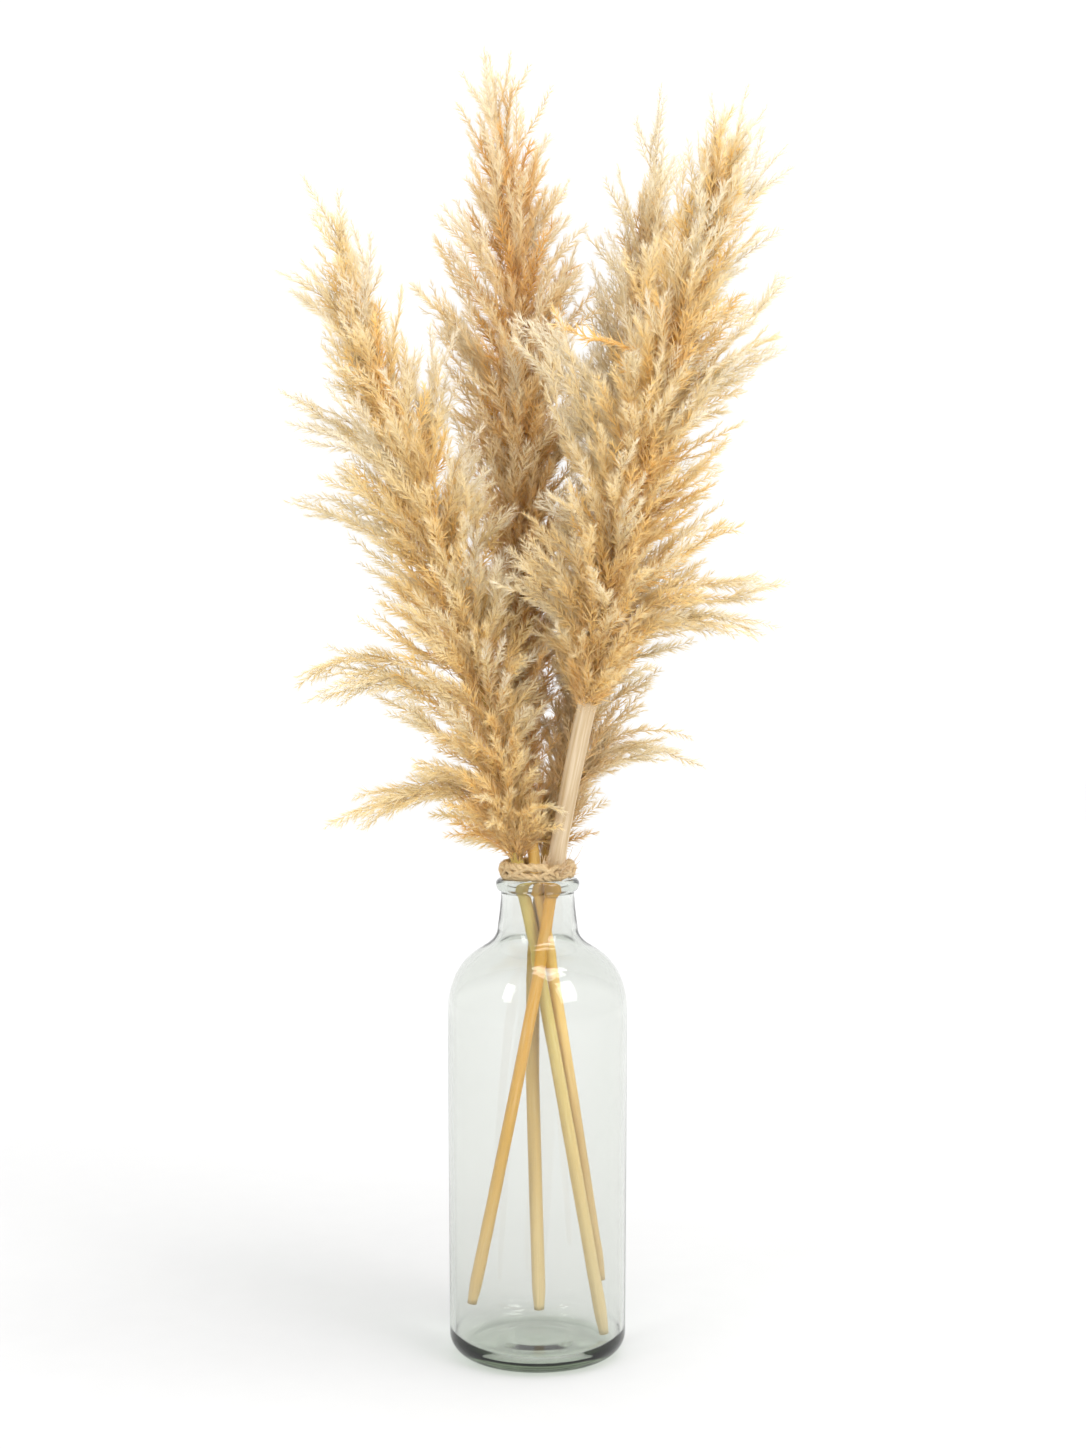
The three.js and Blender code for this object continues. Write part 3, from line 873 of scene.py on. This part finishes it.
# %% The tree that scatters needles
fuzz_tree = Grower("loose_fibres", ("Needle", "Object"), ("Fibres per square metre", "Float"),
                   ("Longest fibre", "Float"), ("Seed", "Int"), ("Material", "Material"))
needle, fibre_density, longest, fuzz_seed, fuzz_material = fuzz_tree.inputs
scatter = fuzz_tree.node("GeometryNodeDistributePointsOnFaces", {}, {
    "Mesh": fuzz_tree.sketch, "Density": fibre_density, "Seed": fuzz_seed})
lean = fuzz_tree.random(fuzz_seed, (-1.1, -1.1, -3.1), (1.1, 1.1, 3.1), "FLOAT_VECTOR")
fibres = fuzz_tree.node("GeometryNodeInstanceOnPoints", {}, {
    "Points": scatter, "Rotation": fuzz_tree.turned(scatter["Rotation"], lean),
    "Instance": fuzz_tree.node("GeometryNodeObjectInfo", {}, {"Object": needle}, output=4),
    "Scale": fuzz_tree.random(fuzz_seed, 0.3, 1.0) * longest})
fuzz_tree.finish(fibres, fuzz_material)

# %% Fuzz on the twine
fuzz = Finish("jute_fibre")
fibre_tone = fuzz.span(fuzz.noise(fuzz.place(), 300.0, 2.0), 0.35, 0.65)
jute_fibre = fuzz.surface(fuzz.principled(
    Base_Color=fuzz.mix((0.50, 0.31, 0.16), (0.80, 0.64, 0.42), fibre_tone),
    Roughness=0.8, Specular_IOR_Level=0.2))

twine_fuzz = fuzz_tree.apply(add_object("twine_copy", twine.data.copy()), {
    "Needle": one_fibre, "Fibres per square metre": 220000.0, "Longest fibre": 0.0028,
    "Seed": 4, "Material": jute_fibre}, "twine_fuzz")
hand_over(twine_fuzz, "jute", "tie_twine")
bpy.data.objects.remove(one_fibre)

# %% Frayed ends at the knot and in front of the stalks
FRAYS = 34
KNOT_FRAYS = 22
FRAY_STEPS = 9

rng = np.random.default_rng(12)
frays = []
for i in range(FRAYS):
    start = knot_at + out * 0.003 + rng.normal(0, 0.0016, 3)
    if i < KNOT_FRAYS:
        aim = unit(np.array((0.9, -0.25, 0.55)) + rng.normal(0, 0.42, 3))
        length = rng.uniform(0.006, 0.016)
        curl = np.array((-0.1, 0.0, rng.uniform(-0.5, 0.9))) * length
    else:
        start = np.array((rng.uniform(0.000, 0.006), -ring_radius + 0.001, twine_high.z - 0.001))
        aim = unit(np.array((0.25, -0.1, 1.0)) + rng.normal(0, 0.25, 3))
        length = rng.uniform(0.005, 0.009)
        curl = rng.normal(0, 0.0008, 3)
    u = np.linspace(0, 1, FRAY_STEPS)[:, None]
    line = start + aim * length * u + curl * u ** 2
    frays.append(sweep(f"fray_{i}", line, np.linspace(0.00024, 0.00009, FRAY_STEPS), 4, jute_fibre))
hand_over(joined(frays, "frayed_ends"), "jute", "tie_twine")

# %% [markdown]
# ## The plumes
# A pampas plume is a panicle: a stalk that sends out long thin branches, each set with spikelets
# whose silky hairs spread like the barbs of a feather. Hair particles would look right but can't be
# carried into other programs, and flat cards would look like cut paper from the side. So the plume is
# grown in three steps. Python decides where branches run, using the imported plume as the outer form.
# Geometry Nodes then put a tiny spikelet of a few dozen faces at every step along them. Last, the
# colour follows a map: one axis tells how deep in the plume a hair sits, and deeper hairs are painted
# darker as painted shade; the other tells how far along the hair a point is. Half of the light goes
# through a hair, which gives the fluff its glow.

# %% Silky fluff
TWIG_COLOUR = (0.80, 0.64, 0.42)
TWIG_TONE = 0.94


def fluff_finish(name, depth, wheat, cream, tips):
    made = Finish(name)
    spot = made.node("ShaderNodeUVMap", {"uv_map": "OFBake"})
    # The ramp's first stop is painted shade deep inside the plume; the paler stops are the plume's own
    # colours.
    body = made.ramp(made.part(spot, 0), [
        (0.0, depth), (0.42, wheat), (0.74, cream), (0.88, tips), (0.93, TWIG_COLOUR)])
    hair = made.mix(body, tips, made.span(made.part(spot, 1), 0.15, 1.0, 0.0, 0.55))
    skin = made.principled(Base_Color=hair, Roughness=0.75, Specular_IOR_Level=0.25)
    glow = made.node("ShaderNodeBsdfTranslucent", {}, {"Color": hair})
    return made.surface(made.node("ShaderNodeMixShader", {}, {0: 0.5, 1: skin, 2: glow}))


# The centre and right plumes stand behind the others, so their colours are painted darker and greyer: a
# painted shade.
FLUFF = {which: fluff_finish("fluff_" + which, *colours) for which, colours in {
    "left": ((0.97, 0.70, 0.25), (0.99, 0.83, 0.44), (0.98, 0.90, 0.68), (0.97, 0.93, 0.84)),
    "centre": ((0.82, 0.50, 0.11), (0.93, 0.70, 0.30), (0.96, 0.85, 0.60), (0.96, 0.91, 0.79)),
    "right": ((0.86, 0.62, 0.27), (0.92, 0.77, 0.47), (0.95, 0.88, 0.69), (0.96, 0.92, 0.83)),
    "front": ((0.97, 0.69, 0.23), (0.99, 0.82, 0.42), (0.98, 0.90, 0.69), (0.97, 0.94, 0.86)),
}.items()}

# %% [markdown]
# One spikelet is a slim chaffy scale with a spray of hairs. A few different ones, picked and turned at
# random, are enough to hide the repeat. Deep inside a plume hairs lie so close that they read as
# down, so the spikelets there have fewer and broader hairs, which cover more with fewer faces.

# %% Fine spikelets and downy ones
GOLDEN_TURN = 2.39996


def spikelet(name, seed, hairs, widths, tilts, scale_width):
    rng = np.random.default_rng(seed)
    spray = []
    for i in range(hairs):
        a = GOLDEN_TURN * i + rng.uniform(-0.4, 0.4)
        tilt = math.radians(rng.uniform(*tilts))
        base = rng.uniform(0.0, 0.30)
        reach = rng.uniform(0.60, 1.0) - base * 0.5
        foot = np.array((0, 0, base))
        tip = foot + (level(a) * math.sin(tilt) + (0, 0, math.cos(tilt))) * reach
        spray.append((foot, tip, rng.uniform(*widths), rng.uniform(0.1, 0.7)))
    spray.append(((0, 0, 0), (0.01, 0.02, 1.0), scale_width, 0.5))
    return needle_mesh(name, spray)


def spikelet_set(name, seed, *look):
    group = bpy.data.collections.new(name)
    bpy.context.scene.collection.children.link(group)
    for i in range(3):
        made = spikelet(f"{name}_{i}", seed + i, *look)
        bpy.context.scene.collection.objects.unlink(made)
        group.objects.link(made)
    print(name, "have", len(made.data.polygons), "faces each")
    return group


# number of hairs, their half widths, their tilts in degrees, the scale's half width
fine_spikelets = spikelet_set("fine_spikelets", 40, 6, (0.013, 0.034), (4, 30), 0.036)
downy_spikelets = spikelet_set("downy_spikelets", 60, 4, (0.026, 0.044), (8, 40), 0.04)

# %% [markdown]
# The tree below reads what Python stored at each point of a branch: its direction, a side direction,
# a size and a shade tone, which carries the plume's painted shade. Spikelets lean out to alternate
# sides, as barbs do, and the branch itself becomes a thin three-sided rod.

# %% The tree that grows feathers on branches
TWIG_STEP = 0.007

feather = Grower("feather_branches", ("Spikelets", "Collection"), ("Spikelet length", "Float"),
                 ("Splay", "Float"), ("Branch radius", "Float"), ("Seed", "Int"), ("Material", "Material"))
spikelets, spikelet_length, splay, branch_radius, seed_in, fluff_material = feather.inputs

tangent_at = feather.named("tangent", "FLOAT_VECTOR")
size_at = feather.named("size")
index = feather.node("GeometryNodeInputIndex")
swing = feather.maths("MODULO", index, 2.0) * math.pi + feather.random(seed_in, -1.0, 1.0)
outward = feather.node("ShaderNodeVectorRotate", {"rotation_type": "AXIS_ANGLE"}, {
    "Vector": feather.named("side", "FLOAT_VECTOR"), "Axis": tangent_at, "Angle": swing})
lift = feather.node("ShaderNodeVectorMath", {"operation": "SCALE"}, {0: outward, "Scale": splay})
aim_at = feather.node("ShaderNodeVectorMath", {"operation": "ADD"}, {0: tangent_at, 1: lift})
pointing = feather.node("FunctionNodeAlignRotationToVector", {"axis": "Z"}, {"Vector": aim_at})
roll = feather.random(seed_in, (-0.18, -0.18, 0.0), (0.18, 0.18, 6.28), "FLOAT_VECTOR")
bears = feather.node("FunctionNodeCompare", {"data_type": "FLOAT", "operation": "GREATER_THAN"},
                     {0: size_at, 1: 0.01})
sprays = feather.node("GeometryNodeInstanceOnPoints", {}, {
    "Points": feather.sketch, "Selection": bears, "Pick Instance": True, "Instance Index": index,
    "Instance": feather.node("GeometryNodeCollectionInfo", {}, {
        "Collection": spikelets, "Separate Children": True, "Reset Children": True}),
    "Rotation": feather.turned(pointing, roll), "Scale": size_at * spikelet_length})
sprays = feather.node("GeometryNodeRealizeInstances", {}, {0: sprays})
hair_map = feather.part(feather.named("hair", "FLOAT_VECTOR"), 0)
sprays = feather.keep_map(sprays, hair_map * 0.07 + feather.named("tone"), hair_map[1])

# %% The rods under the feathers
twigs = feather.node("GeometryNodeMeshToCurve", {}, {0: feather.sketch})
twigs = feather.node("GeometryNodeResampleCurve", {"mode": "LENGTH"}, {"Curve": twigs, "Length": TWIG_STEP})
factor = feather.node("GeometryNodeSplineParameter")
circle = feather.node("GeometryNodeCurvePrimitiveCircle", {}, {"Resolution": 3, "Radius": branch_radius})
twigs = feather.capture(twigs, "factor", factor)
circle = feather.capture(circle, "round", factor)
rods = feather.node("GeometryNodeCurveToMesh", {}, {
    "Curve": twigs, "Profile Curve": circle, "Scale": 1.0 - factor * 0.75, "Fill Caps": True})
rods = feather.keep_map(rods, circle[1] * 0.04 + TWIG_TONE, twigs[1] * 0.2)
feather.finish(feather.node("GeometryNodeJoinGeometry", {}, {0: [sprays, rods]}), fluff_material)

# %% [markdown]
# Branches leave the stalk low, climb beside it and arch outwards. Where they end is read from the
# packed plume: a line from outside towards its stalk meets the outer form there. Low branches nod
# under their weight, and those near the top point almost straight up. A branch may reach a little
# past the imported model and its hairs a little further, and anything longer is shortened.

# %% How far branches and hairs may reach
SPACING = 0.0019
DOWN_SPACING = 0.0026
CHILDREN = 3
LONGEST_HAIR = 0.0175
BRANCH_MARGIN = np.array((0.005, 0.001, 0.014))
HAIR_MARGIN = np.array((0.016, 0.012, 0.030))
BRANCH_LOW = np.array((cad_low.x, cad_low.y, BRANCH_MARGIN[2])) - BRANCH_MARGIN
BRANCH_HIGH = np.array(cad_high) + BRANCH_MARGIN
HAIR_LOW = np.array((cad_low.x, cad_low.y, -1.0)) - HAIR_MARGIN
HAIR_HIGH = np.array(cad_high) + HAIR_MARGIN
print("branches may reach up to", round(BRANCH_HIGH[2], 4), "m")


def within_reach(line):
    """Shortens a branch that would reach out of the whole bundle."""
    root = line[0]
    keep = 1.0
    for axis in range(3):
        low, high = line[:, axis].min(), line[:, axis].max()
        if high > BRANCH_HIGH[axis]:
            keep = min(keep, (BRANCH_HIGH[axis] - root[axis]) / (high - root[axis]))
        if low < BRANCH_LOW[axis]:
            keep = min(keep, (BRANCH_LOW[axis] - root[axis]) / (low - root[axis]))
    return root + (line - root) * max(keep, 0.1)


def even_curve(p0, p1, p2, p3, spacing=SPACING):
    """Evenly spaced points on a Bezier curve."""
    fine = bezier(p0, p1, p2, p3, np.linspace(0, 1, 40)[:, None])
    run = run_along(fine)
    at = np.linspace(0, run[-1], max(6, int(run[-1] / spacing)))
    return np.stack([np.interp(at, run, fine[:, k]) for k in range(3)], axis=1)


def arch(root, tip, up, out, end, rise, spread, pull, spacing=SPACING):
    """A branch that climbs along up, leans to out and reaches its tip along end."""
    span = np.linalg.norm(tip - root)
    return even_curve(root, root + up * span * rise + out * span * spread,
                      tip - end * span * pull, tip, spacing)


def hides_leaf(tip):
    """Whether a tip would stand in front of the leaf sheath or low beside it."""
    in_front = tip[0] > 0.013 and tip[1] < 0.0 and tip[2] < leaf_high.z
    beside = tip[0] > 0.025 and tip[2] < leaf_high.z - 0.055
    return in_front or beside


# %% One plume and its branches
class Plume:
    """Collects the branches of one plume."""

    def __init__(self, which, seed, base, end_tilt):
        self.which = which
        self.rng = np.random.default_rng(seed)
        self.node = "plume_" + which
        self.low, self.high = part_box(self.node)
        mesh = frame["nodes"][self.node].data
        corners = [tuple(p.vertices) for p in mesh.polygons]
        self.form = BVHTree.FromPolygons([v.co for v in mesh.vertices], corners)
        self.base = base
        self.end_tilt = end_tilt
        self.branches = []
        self.down = []
        stalk = stalk_lines[which]
        heights = np.arange(stalk[-1, 2] + 0.012, self.high.z - 0.003, 0.006)
        upper = [[cut_at(self.node, float(z))[0] for z in heights]] if len(heights) else []
        self.spine = np.vstack([stalk[stalk[:, 2] > self.base - 0.02]] + upper)

    def axis(self, z):
        return np.array([np.interp(z, self.spine[:, 2], self.spine[:, 0]),
                         np.interp(z, self.spine[:, 2], self.spine[:, 1]), z])

    def climb(self, z):
        return unit(self.axis(z + 0.02) - self.axis(z - 0.005))

    def share(self, z):
        """How far up the plume a height is, from 0 to 1."""
        return (z - self.low.z) / (self.high.z - self.low.z)

    def reach(self, z, azimuth):
        """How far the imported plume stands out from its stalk."""
        out = Vector(level(azimuth))
        hit = self.form.ray_cast(Vector(self.axis(z)) + out * 0.35, -out)
        return 0.0 if hit[0] is None else max(0.0, (hit[0] - Vector(self.axis(z))).dot(out))

    def add_line(self, line, bare, size, shade_tone_low, shade_tone_high):
        """One branch: bare at first, then feathered to its tip. Hairs near the stalk and at the branch's
        foot are painted darker, a painted shade of the plume's depth; upper hairs are paler.
        """
        count = len(line)
        s = np.linspace(0, 1, count)
        full = np.clip((s - bare) / 0.10, 0, 1)
        shrink = 1 - 0.5 * np.clip((s - 0.72) / 0.28, 0, 1) ** 1.5
        sizes = np.where(s < bare, 0.0, size * (0.55 + 0.45 * full) * shrink)
        sizes *= self.rng.uniform(0.8, 1.15, count)
        nearest = [self.axis(min(max(p[2], self.base), self.high.z)) for p in line]
        away = np.linalg.norm((line - nearest)[:, :2], axis=1)
        # Darker near the stalk and at the branch's foot: painted shade of the plume's depth.
        shade_tones = shade_tone_low + (shade_tone_high - shade_tone_low) * (0.45 * np.clip(away / 0.035, 0, 1) + 0.55 * s ** 1.2)
        shade_tones += 0.36 * self.share(line[:, 2]) - 0.15 + self.rng.normal(0, 0.05, count)
        line = within_reach(line)
        spare = np.minimum(line - HAIR_LOW, HAIR_HIGH - line).min(axis=1)
        sizes = np.minimum(sizes, np.maximum(spare, 0.002) / LONGEST_HAIR)
        self.branches.append((line, sizes, np.clip(shade_tones, 0.01, 0.80)))

    def grow(self, tip, attach, tilt, size, tone):
        """A branch from the stalk to a tip, with smaller ones that part from it."""
        rng = self.rng
        root = self.axis(attach)
        up = self.climb(attach)
        flat = (tip - root) * (1, 1, 0)
        out = unit(flat) if np.linalg.norm(flat) > 0.002 else unit(rng.normal(0, 1, 3) * (1, 1, 0))
        end = unit(out * math.cos(tilt) + up * math.sin(tilt))
        line = within_reach(arch(root, tip, up, out, end, 0.42, 0.10, 0.34))
        feathered = min(0.85, 0.062 / max(np.linalg.norm(tip - root), 0.02))
        self.add_line(line, max(0.12, 1 - feathered), size, tone - 0.35, tone + 0.12)
        count = len(line)
        for k in range(CHILDREN):
            s = rng.uniform(max(0.15, 1 - feathered * 1.15), 0.86)
            i = int(s * (count - 1))
            t = unit(line[min(i + 3, count - 1)] - line[max(i - 3, 0)])
            aside = unit(np.cross(t, rng.normal(0, 1, 3)))
            length = rng.uniform(0.022, 0.046) * (1.25 - 0.5 * s)
            spread = rng.uniform(0.30, 0.62)
            start = unit(t + aside * spread)
            ending = unit(t * 0.8 + aside * spread * 0.7 + end * 0.6 + np.array((0, 0, -0.10)))
            goal = line[i] + (start + ending) * length * 0.5
            child = even_curve(line[i], line[i] + start * length * 0.35, goal - ending * length * 0.33, goal)
            self.add_line(child, 0.08, size * 0.92, tone - 0.18 + 0.2 * (s - 0.5), tone + 0.14)

    def fill(self, number, foot=0.0, head=0.012):
        """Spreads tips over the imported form, more of them where it is wider and at its foot."""
        rng = self.rng
        heights = np.linspace(self.low.z + 0.006, self.high.z - head, 90)
        round_about = np.linspace(0, 2 * np.pi, 10, endpoint=False)
        widths = np.array([np.mean([self.reach(z, a) for a in round_about]) for z in heights])
        weight = np.cumsum(np.maximum(widths, 0.004) * (1 + foot * np.exp(-(heights - self.low.z) / 0.022)))
        weight = weight / weight[-1]
        for i in range(number):
            z = np.interp((i + rng.uniform(0, 1)) / number, weight, heights)
            azimuth = GOLDEN_TURN * i + rng.uniform(-0.3, 0.3)
            reach = self.reach(z, azimuth)
            if reach < 0.003:
                continue
            inner = i % 4 == 0
            layer = rng.uniform(0.45, 0.80) if inner else rng.uniform(0.86, 1.05)
            tip = self.axis(z) + level(azimuth) * reach * layer
            if hides_leaf(tip):
                continue
            share = self.share(z)
            drop = (0.026 + 1.45 * reach) * rng.uniform(0.8, 1.2) * (0.55 + 0.45 * share)
            attach = min(max(self.base, z - drop), self.high.z - 0.02)
            tilt = math.radians(np.interp(share, [0, 0.2, 0.6, 1.0], self.end_tilt) + rng.normal(0, 9))
            size = rng.uniform(0.85, 1.15)
            # Inner branches are painted darker: a painted shade inside the plume.
            self.grow(tip, attach, tilt, size, rng.normal(0.60, 0.09) * (0.72 if inner else 1.0))

    def lead(self, top, lean=0.0):
        """The plume ends in a few branches that run on from its stalk, and may lean along x."""
        for i in range(7):
            height = top - 0.011 * i
            aside = level(GOLDEN_TURN * i) * (0.0012 + 0.0013 * i)
            tip = self.axis(min(height, self.high.z)) * (1, 1, 0) + aside + (lean, 0, height)
            self.grow(tip, height - 0.060 - 0.004 * i, math.radians(82), 0.85, 0.66)

    def fill_down(self, number=105):
        """Short soft branches close round the stalk, which hide it."""
        rng = self.rng
        for i in range(number):
            z = self.low.z + 0.010 + (self.high.z - self.low.z - 0.050) * (i + rng.uniform(0, 1)) / number
            azimuth = GOLDEN_TURN * i + rng.uniform(-0.5, 0.5)
            reach = self.reach(z, azimuth)
            if reach < 0.006:
                continue
            out = level(azimuth)
            tip = self.axis(z) + out * reach * rng.uniform(0.40, 0.78)
            attach = max(self.base - 0.001, z - rng.uniform(0.030, 0.055))
            up = self.climb(attach)
            line = arch(self.axis(attach), tip, up, out, unit(out * 0.5 + up * 0.85),
                        0.35, 0.15, 0.3, DOWN_SPACING)
            s = np.linspace(0, 1, len(line))
            sizes = (0.75 + 0.25 * np.sin(s * np.pi)) * rng.uniform(0.8, 1.15, len(line))
            # The down is painted the darkest golden: a painted shade close round the stalk.
            shade_tones = 0.06 + 0.30 * s + rng.normal(0, 0.03)
            self.down.append((line, sizes, np.clip(shade_tones, 0.01, 0.6)))

    def skirt(self, number, low, high, reach, length):
        """Narrow feathers that hug the stalk, between two heights above the twine."""
        for i in range(number):
            attach = self.rng.uniform(twine_high.z + low, twine_high.z + high)
            out = level(GOLDEN_TURN * i + self.rng.uniform(-0.4, 0.4))
            tip = self.axis(attach + length * self.rng.uniform(0.7, 1.2))
            tip = tip + out * reach * self.rng.uniform(0.6, 1.1)
            up = self.climb(attach)
            line = arch(self.axis(attach) + out * 0.003, tip, up, out, unit(out * 0.45 + up), 0.3, 0.12, 0.3)
            self.add_line(line, 0.05, 0.9, self.rng.uniform(0.15, 0.35), self.rng.uniform(0.5, 0.75))

    def hang(self, x, y, rise, attach, tilt, around):
        """A long branch that hangs out of the plume, with its companions."""
        for i in range(around):
            jitter = self.rng.normal(0, 0.0055, 3) if i else np.zeros(3)
            back = 1 - 0.09 * i * self.rng.uniform(0.5, 1.2)
            root = self.axis(attach)
            goal = root + (np.array((x, y, twine_high.z / MM + rise)) * MM - root) * back + jitter
            end_tilt = math.radians(tilt + self.rng.normal(0, 6))
            self.grow(goal, attach, end_tilt, 1.0, self.rng.normal(0.66, 0.06))

    def cover(self, lines, spikelets, length, splay, seed, name):
        """Turns some branches into one finished piece."""
        edges, tangents, sides, at = [], [], [], 0
        for line, _, _ in lines:
            edges += [(at + i, at + i + 1) for i in range(len(line) - 1)]
            at += len(line)
            t, a, b = frames_along(line)
            tangents.append(t)
            spin = self.rng.uniform(0, np.pi)
            sides.append(a * math.cos(spin) + b * math.sin(spin))
        mesh = bpy.data.meshes.new("branches")
        mesh.from_pydata([tuple(p) for p in np.vstack([b[0] for b in lines])], edges, [])
        store(mesh, "tangent", np.vstack(tangents))
        store(mesh, "side", np.vstack(sides))
        store(mesh, "size", np.concatenate([b[1] for b in lines]), "FLOAT")
        store(mesh, "tone", np.concatenate([b[2] for b in lines]), "FLOAT")
        piece = feather.apply(add_object("branches", mesh), {
            "Spikelets": spikelets, "Spikelet length": length, "Splay": splay,
            "Branch radius": 0.00030, "Seed": seed, "Material": FLUFF[self.which]}, name)
        hand_over(piece, "fluff", self.node)

    def build(self, number_of_pieces, seed):
        order = self.rng.permutation(len(self.branches))
        for n in range(number_of_pieces):
            lines = [self.branches[i] for i in order[n::number_of_pieces]]
            self.cover(lines, fine_spikelets, 0.0108, 0.50, seed + n, f"plume_{self.which}_fluff_{n + 1}")
        self.cover(self.down, downy_spikelets, 0.0145, 0.60, seed + 9, f"plume_{self.which}_down")


# %% [markdown]
# Each plume gets its number of branches, the height at which its fluff starts and how its branch
# tips tilt from the bottom to the top, in degrees above level. A skirt of narrow feathers hides the
# stalk at the foot of the fluff. The long hanging branches are named one by one: where the tip is in
# millimetres, from the axis and above the twine, the height in metres where it leaves the stalk, how
# its end tilts, and how many branches hang together.

# %% The left plume
left = Plume("left", 101, twine_high.z + 0.001, [-22, 12, 46, 72])
left.fill(160, foot=2.4)
left.fill_down()
left.skirt(34, -0.002, 0.007, 0.026, 0.032)
left.lead(left.high.z - 0.012)
for branch in (
        (-122, -16, 24, 0.330, -35, 5), (-148, -18, 116, 0.385, -38, 5),
        (-150, -26, 282, 0.520, 20, 3), (-146, -14, 226, 0.465, 5, 3),
        (-150, -20, 364, 0.610, 40, 2), (-62, -6, 318, 0.530, 62, 4),
        (-50, 0, 262, 0.475, 60, 4)):
    left.hang(*branch)
print("left plume grew", len(left.branches), "branches")

# %% The tall centre plume
centre = Plume("centre", 202, twine_high.z + 0.020, [20, 36, 56, 80])
centre.fill(145)
centre.fill_down()
centre.skirt(60, 0.010, 0.105, 0.014, 0.032)
centre.lead(centre.high.z + 0.008, lean=-0.009)
for branch in (
        (-74, 38, 350, 0.560, 20, 4), (-50, 26, 292, 0.500, 50, 3),
        (34, 22, 296, 0.520, 60, 3), (29, 16, 238, 0.460, 60, 3)):
    centre.hang(*branch)
print("centre plume grew", len(centre.branches), "branches")

# %% The right plume, behind
right = Plume("right", 303, twine_high.z + 0.001, [14, 34, 54, 78])
right.fill(135)
right.fill_down()
right.skirt(32, -0.002, 0.010, 0.015, 0.036)
right.skirt(26, 0.025, 0.090, 0.016, 0.034)
right.lead(right.high.z + 0.013)
for branch in (
        (98, 36, 76, 0.350, -15, 4), (52, 30, 66, 0.345, 20, 3)):
    right.hang(*branch)
print("right plume grew", len(right.branches), "branches")

# %% The front plume, above the leaf
front = Plume("front", 404, twine_high.z + 0.092, [2, 26, 50, 72])
front.fill(150, head=0.020)
front.fill_down()
front.skirt(16, 0.091, 0.097, 0.024, 0.040)
front.lead(front.high.z - 0.024, lean=-0.008)
for branch in (
        (146, -40, 146, 0.425, -20, 4), (148, -34, 172, 0.440, 0, 4),
        (151, -30, 316, 0.575, 40, 3), (138, -30, 434, 0.690, 66, 3),
        (-17, -50, 178, 0.425, 25, 4), (-8, -58, 198, 0.440, 42, 3),
        (4, -34, 334, 0.540, 56, 3), (-16, -38, 330, 0.555, 34, 2),
        (20, -34, 296, 0.510, 60, 3)):
    front.hang(*branch)
print("front plume grew", len(front.branches), "branches")

# %% Turn every branch into feathers
for number, plume in enumerate((left, centre, right, front)):
    plume.build(3, 10 * number)
for group in (fine_spikelets, downy_spikelets):
    for made in list(group.objects):
        bpy.data.objects.remove(made)
    bpy.data.collections.remove(group)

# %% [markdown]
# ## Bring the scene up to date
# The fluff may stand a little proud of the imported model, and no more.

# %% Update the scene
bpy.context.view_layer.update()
